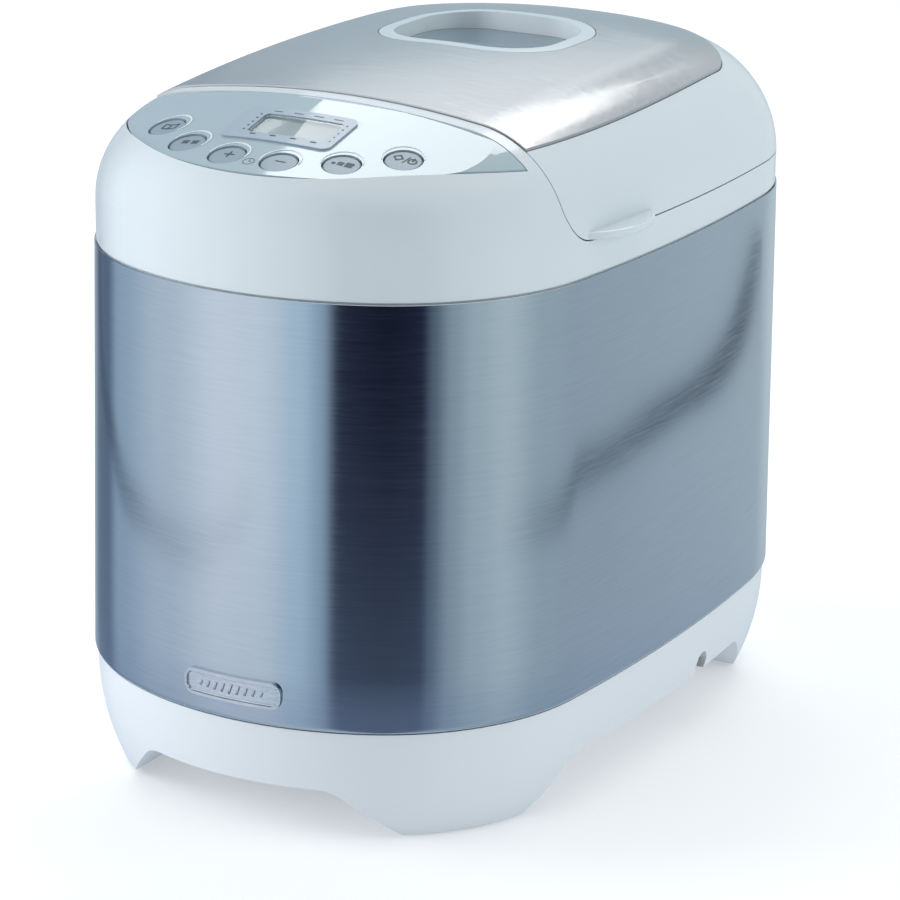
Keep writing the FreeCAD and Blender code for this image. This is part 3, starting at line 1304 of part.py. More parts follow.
def motor():
    low = size("stator_floor")
    high = low + size("stator_height")
    half_x, half_y = size("stator_half_width"), size("stator_half_length")
    bottom_plate = chassis_top + size("mount_height")
    plate = size("bracket_sheet")
    top_plate = high + low - bottom_plate - plate
    shaft = size("motor_shaft_radius")
    stator = rounded_box(half_x, half_y, 4.0, low, high, 0.0, motor_y)
    rotor_space = size("rotor_radius") + size("air_gap")
    bolt_space = size("bolt_radius") + 0.1
    stator = stator.cut(Part.makeCylinder(rotor_space, 100, Vector(0, motor_y, low - 20)))
    for x, y in MOTOR_BOLTS:
        stator = stator.cut(Part.makeCylinder(bolt_space, 100, Vector(x, motor_y + y, low - 20)))
    solid_feature("motor_stator", stator)
    rings = []
    for z in (low - 4, high):
        ring = Part.makeCylinder(28.0, 4.0, Vector(0, motor_y, z))
        rings.append(ring.cut(Part.makeCylinder(19.5, 6.0, Vector(0, motor_y, z - 1))))
    solid_feature("motor_windings", Part.makeCompound(rings))
    for name, plate_z, post_low, post_high in (
            ("motor_bracket_lower", bottom_plate, bottom_plate + plate, low),
            ("motor_bracket_upper", top_plate, high, top_plate)):
        shape = rounded_box(half_x, half_y, 4.0, plate_z, plate_z + plate, 0.0, motor_y)
        for x, y in MOTOR_BOLTS:
            shape = shape.fuse(Part.makeCylinder(4.5, post_high - post_low, Vector(x, motor_y + y, post_low)))
            shape = shape.cut(Part.makeCylinder(bolt_space, 100, Vector(x, motor_y + y, post_low - 20)))
        shape = shape.cut(Part.makeCylinder(shaft + bearing_gap, 200, Vector(0, motor_y, 0)))
        solid_feature(name, shape)
    bolts = []
    for i, (x, y) in enumerate(MOTOR_BOLTS):
        bolts.append(fuse("motor_bolt_%d" % i, [
            cylinder("bolt_shank_%d" % i, size("bolt_radius"), top_plate + plate - bottom_plate,
                     Length(x), motor_y + y, bottom_plate),
            cylinder("bolt_head_%d" % i, size("bolt_radius") * 2, Length(3.0),
                     Length(x), motor_y + y, top_plate + plate),
        ]))
    group("motor_bolts", bolts)
    mounts = [cylinder("mount_%d" % i, Length(5.0), size("mount_height"), Length(x), motor_y + y, chassis_top)
              for i, (x, y) in enumerate(MOTOR_BOLTS)]
    group("motor_mounts", mounts)
    pulley_low = size("belt_height") - size("belt_width") / 2 - 3
    pulley_high = size("belt_height") + size("belt_width") / 2 + 3
    rotor = size("rotor_radius")
    corners = [(ZERO, pulley_low), (shaft, pulley_low), (shaft, low + 1), (rotor, low + 1), (rotor, high - 1),
               (shaft, high - 1), (shaft, top_plate + plate + 4), (ZERO, top_plate + plate + 4)]
    turned_body("motor_rotor", corners, ZERO, motor_y)
    groove, rim = size("motor_pulley_radius"), size("motor_pulley_radius") + size("pulley_rim")
    corners = [(shaft, pulley_low), (rim, pulley_low), (rim, pulley_low + 2), (groove, pulley_low + 2),
               (groove, pulley_high - 2), (rim, pulley_high - 2), (rim, pulley_high), (shaft, pulley_high)]
    turned_body("motor_pulley", corners, ZERO, motor_y)


def electrics():
    board_x = Length(-58.0)
    face = board_x + size("board_thickness")
    keep(block("board_panel", (board_x, motor_y - 28, chassis_top), (face, motor_y + 34, chassis_top + 90)),
         "power_board")
    blocks = [
        ("transformer", 0.0, 40.0, 26.0, 24.0, 18.0),
        ("relay", -14.0, 14.0, 18.0, 14.0, 14.0),
        ("terminal_row", 16.0, 70.0, 24.0, 9.0, 10.0),
        ("reservoir", -16.0, 58.0, 12.0, 22.0, 12.0),
    ]
    items = [block(name, (face, motor_y + y - width / 2, chassis_top + z - height / 2),
                   (face + depth, motor_y + y + width / 2, chassis_top + z + height / 2))
             for name, y, z, width, height, depth in blocks]
    group("board_components", items)
    low, high = (Length(54.0), motor_y - 14, chassis_top), (Length(74.0), motor_y + 30, chassis_top + 34)
    keep(block("capacitor_case", low, high), "motor_capacitor")


# ---------------------------------------------------------------- build

outer_form = form(0.0, steel_top)
inner_form = form(shell_wall, steel_top - 1)
plate_bed_form = form(size("plate_bed"), steel_top)
panel_bed = form(panel_thickness, steel_top).common(panel_below(panel_thickness))
shelf_depth = panel_thickness + panel_shelf
panel_bed_low = form(shelf_depth, steel_top - 1).common(panel_below(shelf_depth))

base_tray()
foot_pads()
cord_gland()
steel_wrap()
badge_plate()
upper_housing(outer_form, panel_bed, panel_bed_low)
control_panel(outer_form, panel_bed)
display()
control_board(form(shelf_depth + 1, steel_top - 1))
buttons()
lid_shell(outer_form, inner_form, plate_bed_form)
lid_plate(plate_bed_form)
window(plate_bed_form)
lid_liner()
hinge()
oven_chamber()
heater()
oven_fittings()
bread_pan()
pan_fittings()
pan_handle()
kneader()
chassis()
spindle_drive()
belt()
motor()
electrics()
doc.recompute()

faults = [item.Label for item in doc.Objects if "Invalid" in item.State or "Error" in item.State]
for item in subparts:
    if item.Shape.isNull() or not item.Shape.isValid() or not item.Shape.Solids:
        faults.append(item.Label)
if faults:
    raise RuntimeError("pieces that failed: " + ", ".join(sorted(set(faults))))

os.makedirs("parts", exist_ok=True)
for item in subparts:
    item.Shape.exportStep("parts/%s.step" % item.Label)
print("%d sub-parts written" % len(subparts))
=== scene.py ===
import json
import math

import bmesh
import bpy
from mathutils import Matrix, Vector
from mathutils.bvhtree import BVHTree

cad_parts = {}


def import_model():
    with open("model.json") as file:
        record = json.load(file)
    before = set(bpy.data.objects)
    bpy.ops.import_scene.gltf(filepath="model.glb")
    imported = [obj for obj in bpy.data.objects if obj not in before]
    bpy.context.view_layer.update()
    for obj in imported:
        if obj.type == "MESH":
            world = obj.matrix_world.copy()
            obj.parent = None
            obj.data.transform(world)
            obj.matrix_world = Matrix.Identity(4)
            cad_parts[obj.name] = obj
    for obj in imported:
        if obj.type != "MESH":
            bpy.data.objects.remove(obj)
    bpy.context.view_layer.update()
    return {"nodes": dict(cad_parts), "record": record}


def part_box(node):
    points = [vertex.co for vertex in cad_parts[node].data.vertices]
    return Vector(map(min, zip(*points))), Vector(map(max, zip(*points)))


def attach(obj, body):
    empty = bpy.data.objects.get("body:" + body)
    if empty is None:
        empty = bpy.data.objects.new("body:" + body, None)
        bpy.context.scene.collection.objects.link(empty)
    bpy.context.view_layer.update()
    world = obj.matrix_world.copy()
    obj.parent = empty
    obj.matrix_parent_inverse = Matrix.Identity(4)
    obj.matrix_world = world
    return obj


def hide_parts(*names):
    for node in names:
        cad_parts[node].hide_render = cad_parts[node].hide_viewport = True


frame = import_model()
nodes = frame["nodes"]
scene = bpy.context.scene
scene.view_settings.view_transform = "Standard"
MM = 0.001


# ---------------------------------------------------------------- shader helpers

def rgb(red, green, blue):
    return (red, green, blue, 1.0)


class Graph:
    """Short ways to add nodes to a node tree."""

    def __init__(self, tree):
        self.tree = tree

    def add(self, kind, **settings):
        node = self.tree.nodes.new(kind)
        for key, value in settings.items():
            setattr(node, key, value)
        return node

    def link(self, source, target):
        self.tree.links.new(source, target)

    def set(self, socket, value):
        if hasattr(value, "is_output"):
            self.link(value, socket)
        else:
            socket.default_value = value

    def math(self, operation, first, second=0.0):
        node = self.add("ShaderNodeMath", operation=operation)
        self.set(node.inputs[0], first)
        self.set(node.inputs[1], second)
        return node.outputs[0]

    def remap(self, value, low, high, from_low=0.18, from_high=0.82, easing="LINEAR"):
        """Carries a range of a value onto another one; the first range suits the spread of noise."""
        node = self.add("ShaderNodeMapRange", interpolation_type=easing)
        self.link(value, node.inputs["Value"])
        sockets = ("From Min", "From Max", "To Min", "To Max")
        for socket, number in zip(sockets, (from_low, from_high, low, high)):
            node.inputs[socket].default_value = number
        return node.outputs["Result"]

    def mix(self, share, first, second, blend="MIX"):
        node = self.add("ShaderNodeMix", data_type="RGBA", blend_type=blend)
        self.set(node.inputs["Factor"], share)
        self.set(node.inputs[6], first)
        self.set(node.inputs[7], second)
        return node.outputs[2]


class Shader(Graph):
    """A node material with a Principled shader, drawn over the object's own coordinates."""

    def __init__(self, name, **values):
        self.material = bpy.data.materials.new(name)
        self.material.use_nodes = True
        super().__init__(self.material.node_tree)
        self.shader = self.tree.nodes["Principled BSDF"]
        self.coords = self.add("ShaderNodeTexCoord").outputs["Object"]
        for key, value in values.items():
            self.shader.inputs[key.replace("_", " ")].default_value = value

    def stretched(self, scale):
        node = self.add("ShaderNodeMapping")
        node.inputs["Scale"].default_value = scale
        self.link(self.coords, node.inputs["Vector"])
        return node.outputs["Vector"]

    def noise(self, scale, detail=2.0, roughness=0.5):
        """Noise over the object's own coordinates; scale is cycles per metre along each axis."""
        if not isinstance(scale, tuple):
            scale = (scale, scale, scale)
        node = self.add("ShaderNodeTexNoise")
        node.inputs["Scale"].default_value = 1.0
        node.inputs["Detail"].default_value = detail
        node.inputs["Roughness"].default_value = roughness
        self.link(self.stretched(scale), node.inputs["Vector"])
        return node.outputs["Fac"]

    def colour(self, value):
        self.link(value, self.shader.inputs["Base Color"])

    def rough(self, value):
        self.link(value, self.shader.inputs["Roughness"])

    def bump(self, height, strength, distance):
        node = self.add("ShaderNodeBump")
        node.inputs["Strength"].default_value = strength
        node.inputs["Distance"].default_value = distance
        self.link(height, node.inputs["Height"])
        self.link(node.outputs["Normal"], self.shader.inputs["Normal"])


def plastic(name, low, high, rough_low, rough_high, coat=0.4, grain=900.0, bump=0.03):
    """Moulded plastic: a slight cloudiness, a fine orange-peel skin and uneven gloss."""
    made = Shader(name, Coat_Weight=coat, Coat_Roughness=0.06, IOR=1.5)
    made.colour(made.mix(made.remap(made.noise(14.0, 3.0), 0.0, 1.0), rgb(*low), rgb(*high)))
    made.rough(made.remap(made.noise(55.0, 3.0), rough_low, rough_high))
    made.bump(made.noise(grain, 2.0), bump, 0.0004)
    return made.material


def brushed(name, low, high, fine, coarse, rough_low, rough_high, anisotropic, tangent="Z"):
    """Brushed sheet: two widths of grain in colour, gloss and relief, with a few broad cloudy patches."""
    made = Shader(name, Metallic=1.0, Anisotropic=anisotropic, Anisotropic_Rotation=0.25)
    narrow = made.noise(fine, 3.0, 0.65)
    broad = made.noise(coarse, 2.0, 0.55)
    grain = made.math("ADD", made.math("MULTIPLY", narrow, 0.6), made.math("MULTIPLY", broad, 0.4))
    streak = made.mix(made.remap(grain, 0.0, 1.0, 0.36, 0.64), rgb(*low), rgb(*high))
    cloud = made.remap(made.noise(9.0, 2.0), 0.955, 1.0)
    made.colour(made.mix(1.0, streak, cloud, "MULTIPLY"))
    made.rough(made.remap(grain, rough_low, rough_high, 0.34, 0.66))
    made.bump(grain, 0.05, 0.00004)
    axis = made.add("ShaderNodeTangent", direction_type="RADIAL", axis=tangent)
    made.link(axis.outputs["Tangent"], made.shader.inputs["Tangent"])
    return made.material


def machined(name, low, high, rough_low, rough_high, grain=(500.0, 500.0, 60.0), metallic=1.0):
    """Bare or coated metal with a fine grain along one axis and uneven gloss."""
    made = Shader(name, Metallic=metallic)
    fine = made.noise(grain, 3.0, 0.6)
    made.colour(made.mix(made.remap(fine, 0.0, 1.0), rgb(*low), rgb(*high)))
    made.rough(made.remap(made.noise(90.0, 3.0), rough_low, rough_high))
    made.bump(fine, 0.12, 0.00008)
    return made.material


def paint_node(node, material):
    """Gives a CAD node's object a finish."""
    slots = nodes[node].material_slots
    if not slots:
        nodes[node].data.materials.append(material)
    for slot in nodes[node].material_slots:
        slot.material = material


# ---------------------------------------------------------------- finishes

white = plastic("white_gloss", (0.665, 0.725, 0.755), (0.685, 0.745, 0.775), 0.16, 0.22, coat=0.6, bump=0.015)
tray_white = plastic("white_satin", (0.74, 0.785, 0.82), (0.765, 0.81, 0.845), 0.30, 0.40, coat=0.15)
panel_white = plastic("panel_gloss", (0.37, 0.475, 0.52), (0.385, 0.49, 0.535), 0.06, 0.09,
                      coat=1.0, bump=0.004)
bezel_silver = plastic("bezel_silver", (0.33, 0.41, 0.48), (0.36, 0.44, 0.51), 0.26, 0.34, coat=0.35)
button_grey = plastic("button_grey", (0.24, 0.315, 0.37), (0.27, 0.345, 0.40), 0.30, 0.40, coat=0.15)
dark_plastic = plastic("dark_plastic", (0.018, 0.020, 0.024), (0.028, 0.030, 0.034), 0.38, 0.50, coat=0.1)
print_grey = plastic("print_grey", (0.045, 0.065, 0.085), (0.06, 0.08, 0.10), 0.45, 0.55, coat=0.0, bump=0.01)
print_light = plastic("print_light", (0.74, 0.78, 0.81), (0.79, 0.83, 0.86), 0.40, 0.50, coat=0.0, bump=0.01)
rubber = plastic("rubber", (0.022, 0.022, 0.024), (0.035, 0.035, 0.038), 0.70, 0.82, coat=0.0, bump=0.10)
ceramic = plastic("ceramic", (0.78, 0.75, 0.69), (0.84, 0.81, 0.75), 0.40, 0.55, coat=0.1)

wrap_steel = brushed("steel_wrap_brushed", (0.535, 0.60, 0.66), (0.58, 0.645, 0.70), (70.0, 70.0, 2300.0),
                     (28.0, 28.0, 800.0), 0.10, 0.15, 0.30)
plate_steel = brushed("lid_plate_brushed", (0.60, 0.595, 0.60), (0.665, 0.655, 0.655), (70.0, 2300.0, 1500.0),
                      (28.0, 800.0, 500.0), 0.20, 0.27, 0.4, "X")
badge_metal = brushed("badge_brushed", (0.55, 0.60, 0.65), (0.72, 0.76, 0.80), (300.0, 300.0, 2200.0),
                      (120.0, 120.0, 900.0), 0.16, 0.26, 0.2)
aluminium = machined("aluminium", (0.60, 0.61, 0.62), (0.74, 0.75, 0.76), 0.28, 0.42)
oven_metal = machined("oven_metal", (0.38, 0.37, 0.35), (0.50, 0.49, 0.46), 0.35, 0.50, (60.0, 60.0, 500.0))
zinc = machined("zinc", (0.48, 0.49, 0.50), (0.64, 0.65, 0.66), 0.30, 0.48, (260.0, 260.0, 260.0))
heater_metal = machined("heater_metal", (0.10, 0.10, 0.095), (0.19, 0.18, 0.17), 0.42, 0.60,
                        (200.0, 200.0, 200.0))
copper = machined("copper", (0.62, 0.25, 0.12), (0.80, 0.38, 0.20), 0.26, 0.38, (40.0, 40.0, 1600.0))
laminations = machined("laminations", (0.13, 0.13, 0.14), (0.30, 0.30, 0.31), 0.40, 0.55, (8.0, 8.0, 1800.0))
nonstick = machined("nonstick", (0.030, 0.031, 0.033), (0.060, 0.061, 0.064), 0.32, 0.46,
                    (1400.0, 1400.0, 1400.0), metallic=0.25)


def board_material():
    """Green solder mask over lighter copper tracks."""
    made = Shader("circuit_board", Coat_Weight=0.4, Coat_Roughness=0.2)
    cells = made.add("ShaderNodeTexVoronoi", feature="DISTANCE_TO_EDGE", distance="MANHATTAN")
    cells.inputs["Scale"].default_value = 1.0
    made.link(made.stretched((260.0, 260.0, 260.0)), cells.inputs["Vector"])
    track = made.math("LESS_THAN", cells.outputs["Distance"], 0.07)
    made.colour(made.mix(track, rgb(0.015, 0.10, 0.045), rgb(0.05, 0.24, 0.10)))
    made.rough(made.remap(made.noise(300.0), 0.30, 0.45))
    made.bump(track, 0.2, 0.0001)
    return made.material


def display_material():
    """A reflective display: pale grey-green with a fine dot grid."""
    made = Shader("display_face", Coat_Weight=0.2, Coat_Roughness=0.1)
    wave_x = made.add("ShaderNodeTexWave", bands_direction="X")
    wave_y = made.add("ShaderNodeTexWave", bands_direction="Y")
    for wave in (wave_x, wave_y):
        wave.inputs["Scale"].default_value = 260.0
        made.link(made.coords, wave.inputs["Vector"])
    grid = made.math("MULTIPLY", wave_x.outputs["Fac"], wave_y.outputs["Fac"])
    base = made.mix(grid, rgb(0.60, 0.68, 0.70), rgb(0.66, 0.735, 0.75))
    made.colour(made.mix(made.remap(made.noise(30.0), 0.0, 0.35), base, rgb(0.54, 0.62, 0.64)))
    made.rough(made.remap(made.noise(200.0), 0.32, 0.42))
    return made.material


def glass_material(name, tint, rough_low, rough_high, transmission):
    """Tinted glass with a faint cloudiness and uneven polish."""
    made = Shader(name, Transmission_Weight=transmission, IOR=1.5, Coat_Weight=0.3, Coat_Roughness=0.02)
    paler = rgb(*(part * 1.05 for part in tint))
    made.colour(made.mix(made.remap(made.noise(25.0, 3.0), 0.0, 1.0), rgb(*tint), paler))
    made.rough(made.remap(made.noise(120.0, 3.0), rough_low, rough_high))
    return made.material


board = board_material()
display_face = display_material()
lens_glass = glass_material("lens_glass", (0.90, 0.94, 0.95), 0.02, 0.05, 1.0)
window_glass = glass_material("window_glass", (0.27, 0.39, 0.47), 0.02, 0.06, 0.55)
inner_glass = glass_material("inner_glass", (0.62, 0.70, 0.74), 0.03, 0.08, 0.85)

FINISHES = {
    "white_plastic": white, "panel_plastic": panel_white, "bezel_plastic": bezel_silver,
    "button_plastic": button_grey, "steel": wrap_steel, "badge": badge_metal, "rubber": rubber,
    "dark_plastic": dark_plastic, "display": display_face, "display_glass": lens_glass,
    "circuit_board": board, "glass": window_glass, "aluminium": aluminium, "oven_metal": oven_metal,
    "heater_metal": heater_metal, "ceramic": ceramic, "nonstick": nonstick, "laminations": laminations,
    "copper": copper, "zinc": zinc,
}
for entry in frame["record"]["subparts"]:
    paint_node(entry["node"], FINISHES[entry["material_slot"]])
paint_node("base_tray", tray_white)
paint_node("lid_plate", plate_steel)
paint_node("inner_pane", inner_glass)


# ---------------------------------------------------------------- camera

CAMERA_LENS = 143.2
CAMERA_PLACE = Vector((0.7546, -1.3377, 0.6018))
CAMERA_AIM = Vector((0.00267, 0.0, 0.1182))
CAMERA_ROLL = math.radians(0.88)


def camera():
    """The photograph's view: from the front right and a little above, rolled by under a degree."""
    data = bpy.data.cameras.new("camera")
    data.lens = CAMERA_LENS
    data.sensor_width = 36.0
    data.clip_start = 0.05
    data.dof.use_dof = False
    item = bpy.data.objects.new("camera", data)
    scene.collection.objects.link(item)
    item.location = CAMERA_PLACE
    forward = (CAMERA_AIM - CAMERA_PLACE).normalized()
    right = forward.cross(Vector((0, 0, 1))).normalized()
    up = right.cross(forward)
    axis_x = right * math.cos(CAMERA_ROLL) + up * math.sin(CAMERA_ROLL)
    axis_y = up * math.cos(CAMERA_ROLL) - right * math.sin(CAMERA_ROLL)
    turn = item.matrix_world.to_3x3()
    turn.col[0], turn.col[1], turn.col[2] = axis_x, axis_y, -forward
    item.rotation_mode = "QUATERNION"
    item.rotation_quaternion = turn.to_quaternion()
    scene.camera = item


camera()


# ---------------------------------------------------------------- studio

FLOOR_REACH = 30.0


def floor():
    """A plain pale floor that glows faintly, so that it stays light out to the horizon."""
    data = bpy.data.meshes.new("floor")
    corners = [(x * FLOOR_REACH, y * FLOOR_REACH, 0) for x, y in ((-1, -1), (1, -1), (1, 1), (-1, 1))]
    data.from_pydata(corners, [], [(0, 1, 2, 3)])
    item = bpy.data.objects.new("floor", data)
    scene.collection.objects.link(item)
    made = Shader("floor", Roughness=0.6, Specular_IOR_Level=0.1, Emission_Color=rgb(1.0, 1.0, 1.0),
                  Emission_Strength=0.22)
    cloud = made.remap(made.noise(3.0, 3.0), 0.0, 1.0)
    made.colour(made.mix(cloud, rgb(0.86, 0.86, 0.86), rgb(0.88, 0.88, 0.88)))
    data.materials.append(made.material)
    item.visible_glossy = False


# The studio's walls: colour by compass direction, in degrees from -Y towards +X. A tall dark panel stands
# from 12 to 49 degrees, a duller one near -110, and the walls between them are pale.
STUDIO = [
    (-180, (0.60, 0.68, 0.72)),
    (-150, (0.40, 0.52, 0.60)),
    (-135, (0.38, 0.46, 0.54)),
    (-120, (0.16, 0.20, 0.27)),
    (-106, (0.13, 0.19, 0.28)),
    (-92, (0.40, 0.52, 0.64)),
    (-62, (0.66, 0.75, 0.85)),
    (-34, (0.92, 0.96, 1.04)),
    (-19, (0.88, 0.93, 1.00)),
    (-2, (0.60, 0.75, 0.87)),
    (6, (0.40, 0.52, 0.64)),
    (12, (0.018, 0.022, 0.046)),
    (32, (0.009, 0.011, 0.026)),
    (49, (0.014, 0.018, 0.040)),
    (54, (0.13, 0.17, 0.23)),
    (64, (0.36, 0.45, 0.50)),
    (76, (0.52, 0.62, 0.66)),
    (92, (0.62, 0.72, 0.75)),
    (116, (0.46, 0.56, 0.60)),
    (140, (0.44, 0.52, 0.58)),
    (160, (0.50, 0.58, 0.64)),
    (180, (0.60, 0.68, 0.72)),
]


def world():
    """Walls coloured by direction, under a pale ceiling."""
    item = bpy.data.worlds.new("studio")
    scene.world = item
    item.use_nodes = True
    graph = Graph(item.node_tree)
    parts = graph.add("ShaderNodeSeparateXYZ")
    graph.link(graph.add("ShaderNodeTexCoord").outputs["Generated"], parts.inputs[0])
    x, y, z = parts.outputs
    compass = graph.math("ARCTAN2", x, graph.math("MULTIPLY", y, -1.0))
    share = graph.math("ADD", graph.math("DIVIDE", compass, 2 * math.pi), 0.5)
    ramp = graph.add("ShaderNodeValToRGB")
    ramp.color_ramp.interpolation = "EASE"
    stops = ramp.color_ramp.elements
    for index, (angle, colour) in enumerate(STUDIO):
        place = (angle + 180) / 360
        stop = stops[index] if index < 2 else stops.new(place)
        stop.position = place
        stop.color = rgb(*colour)
    graph.link(share, ramp.inputs[0])
    # Well below the horizon the walls turn half way to blue-grey.
    dip = graph.remap(z, 0.0, 0.5, -0.27, -0.42)
    walls = graph.mix(dip, ramp.outputs[0], rgb(0.26, 0.34, 0.50))
    # High up they fade into a pale ceiling.
    ceiling = graph.mix(graph.remap(z, 0.0, 1.0, 0.2, 1.0), rgb(0.66, 0.70, 0.72), rgb(0.95, 0.96, 0.97))
    whole = graph.mix(graph.remap(z, 0.0, 1.0, 0.45, 0.85, "SMOOTHSTEP"), walls, ceiling)
    # Seen directly, the backdrop is plain and pale.
    seen = graph.add("ShaderNodeLightPath").outputs["Is Camera Ray"]
    back = graph.tree.nodes["Background"]
    graph.link(graph.mix(seen, whole, rgb(0.93, 0.93, 0.94)), back.inputs["Color"])


def lamp(name, place, aim, width, height, power, colour=(1.0, 1.0, 1.0), glossy=True, diffuse=True):
    """A rectangular soft box that the camera doesn't see."""
    data = bpy.data.lights.new(name, "AREA")
    data.shape = "RECTANGLE"
    data.size, data.size_y = width, height
    data.energy = power
    data.color = colour
    item = bpy.data.objects.new(name, data)
    scene.collection.objects.link(item)
    item.location = Vector(place)
    item.rotation_mode = "QUATERNION"
    item.rotation_quaternion = (Vector(aim) - Vector(place)).to_track_quat("-Z", "Y")
    item.visible_camera = False
    item.visible_glossy = glossy
    item.visible_diffuse = diffuse


SHADE_STRIP_HEIGHT = 1.0 * MM


def shade_reflection_strip(name, centre_line, widths, strengths, colour):
    """A soft-edged dark strip lying on the floor that only reflections see: painted shade, a dark reflection
    that stands in for shade on the floor; strengths are its opacity along it.
    """
    mesh = bpy.data.meshes.new(name)
    rows = 5
    steps = 12
    fine, share_at = [], []
    count = len(centre_line) - 1
    for i in range(count * steps + 1):
        spot = i / steps
        k = min(int(spot), count - 1)
        t = spot - k
        p = [Vector(centre_line[min(max(k + j, 0), count)]) for j in (-1, 0, 1, 2)]
        fine.append(0.5 * (2 * p[1] + (p[2] - p[0]) * t + (2 * p[0] - 5 * p[1] + 4 * p[2] - p[3]) * t * t
                           + (3 * p[1] - 3 * p[2] + p[3] - p[0]) * t ** 3))
        width = widths[k] * (1 - t) + widths[k + 1] * t
        strength = strengths[k] * (1 - t) + strengths[k + 1] * t
        share_at.append((width, strength))
    verts, faces, alphas = [], [], []
    for i, point in enumerate(fine):
        ahead = fine[min(i + 1, len(fine) - 1)] - fine[max(i - 1, 0)]
        side = Vector((-ahead.y, ahead.x)).normalized()
        width, strength = share_at[i]
        for j in range(rows):
            off = (j / (rows - 1) - 0.5) * width
            spot = point + side * off
            verts.append((spot.x, spot.y, SHADE_STRIP_HEIGHT))
            alphas.append(strength if 0 < j < rows - 1 else 0.0)
    for i in range(len(fine) - 1):
        for j in range(rows - 1):
            a = i * rows + j
            faces.append((a, a + 1, a + rows + 1, a + rows))
    mesh.from_pydata(verts, [], faces)
    layer = mesh.attributes.new("opacity", "FLOAT", "POINT")
    layer.data.foreach_set("value", alphas)
    item = bpy.data.objects.new(name, mesh)
    scene.collection.objects.link(item)
    material = bpy.data.materials.new(name)
    material.use_nodes = True
    tree = material.node_tree
    tree.nodes.clear()
    out = tree.nodes.new("ShaderNodeOutputMaterial")
    mixer = tree.nodes.new("ShaderNodeMixShader")
    clear = tree.nodes.new("ShaderNodeBsdfTransparent")
    glow = tree.nodes.new("ShaderNodeEmission")
    glow.inputs["Color"].default_value = rgb(*colour)
    given = tree.nodes.new("ShaderNodeAttribute")
    given.attribute_name = "opacity"
    tree.links.new(given.outputs["Fac"], mixer.inputs[0])
    tree.links.new(clear.outputs[0], mixer.inputs[1])
    tree.links.new(glow.outputs[0], mixer.inputs[2])
    tree.links.new(mixer.outputs[0], out.inputs["Surface"])
    mesh.materials.append(material)
    item.visible_camera = False
    item.visible_diffuse = False
    item.visible_shadow = False
    item.visible_transmission = False


floor()
world()
lamp("panel_box", (-0.353, 1.19, 1.74), (0.0, -0.13, 0.28), 1.39, 0.85, 8.5)
lamp("plate_box", (-0.74, 1.56, 1.20), (0.0, 0.0, 0.3), 0.7, 0.62, 0.62, (1.0, 0.95, 0.92), diffuse=False)
lamp("overhead", (-0.3, 0.2, 2.8), (0.0, 0.0, 0.0), 2.4, 2.4, 3.5, glossy=False)
lamp("fill_left", (-2.2, -0.9, 0.8), (0.0, 0.0, 0.15), 1.4, 1.4, 31.0, glossy=False)
lamp("fill_right", (2.2, 1.0, 0.8), (0.0, 0.0, 0.15), 1.2, 1.2, 12.0, glossy=False)
# The centre points of both strips are rounded figures that a scratch script worked out from the photograph's
# reflections, and the widths rest on those figures too. This is an open fault.
# Painted shade in reflections: both strips put dark patches into the steel's reflection of the floor,
# standing in for the shaded floor near the body.
shade_reflection_strip("shade_strip_right", [(0.345, 0.96), (0.318, 0.70), (0.334, 0.56), (0.372, 0.47), (0.395, 0.375),
                    (0.445, 0.20), (0.508, 0.01), (0.512, -0.13)],
     [0.03, 0.06, 0.075, 0.075, 0.06, 0.10, 0.11, 0.08], [1.0, 1.0, 0.95, 0.9, 0.85, 0.55, 0.25, 0.0],
     (0.07, 0.09, 0.13))
shade_reflection_strip("shade_strip_left", [(-0.90, 0.33), (-0.68, 0.15), (-0.58, -0.07), (-0.49, -0.19), (-0.41, -0.31),
                   (-0.30, -0.43), (-0.20, -0.55), (-0.13, -0.66)],
     [0.12, 0.10, 0.09, 0.09, 0.09, 0.09, 0.09, 0.08], [0.9, 0.9, 0.8, 0.6, 0.35, 0.25, 0.15, 0.0],
     (0.10, 0.14, 0.20))


# ---------------------------------------------------------------- drawn pieces

def tree_of(node):
    mesh = nodes[node].data
    return BVHTree.FromPolygons([v.co for v in mesh.vertices], [p.vertices for p in mesh.polygons])


def new_piece(name, mesh, body, material):
    item = bpy.data.objects.new(name, mesh)
    scene.collection.objects.link(item)
    mesh.materials.append(material)
    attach(item, body)
    return item


def ring_outline(x, y, radius, count):
    turns = [2 * math.pi * i / count for i in range(count)]
    return [(x + radius * math.cos(turn), y + radius * math.sin(turn)) for turn in turns]


def ring_band(x, y, radius, width, count):
    """A ring as short four-sided outlines."""
    parts = []
    for i in range(count):
        a, b = 2 * math.pi * i / count, 2 * math.pi * (i + 1) / count
        parts.append([(x + r * math.cos(t), y + r * math.sin(t))
                      for r, t in ((radius, a), (radius + width, a), (radius + width, b), (radius, b))])
    return parts


def stroke(points, width, closed=False):
    """A line of even width as four-sided outlines, with round joints."""
    parts = []
    ends = list(zip(points, points[1:] + points[:1] if closed else points[1:]))
    for (x0, y0), (x1, y1) in ends:
        length = math.hypot(x1 - x0, y1 - y0)
        nx, ny = -(y1 - y0) / length * width / 2, (x1 - x0) / length * width / 2
        parts.append([(x0 + nx, y0 + ny), (x0 - nx, y0 - ny), (x1 - nx, y1 - ny), (x1 + nx, y1 + ny)])
    for x, y in points:
        parts.append(ring_outline(x, y, width / 2, 10))
    return parts


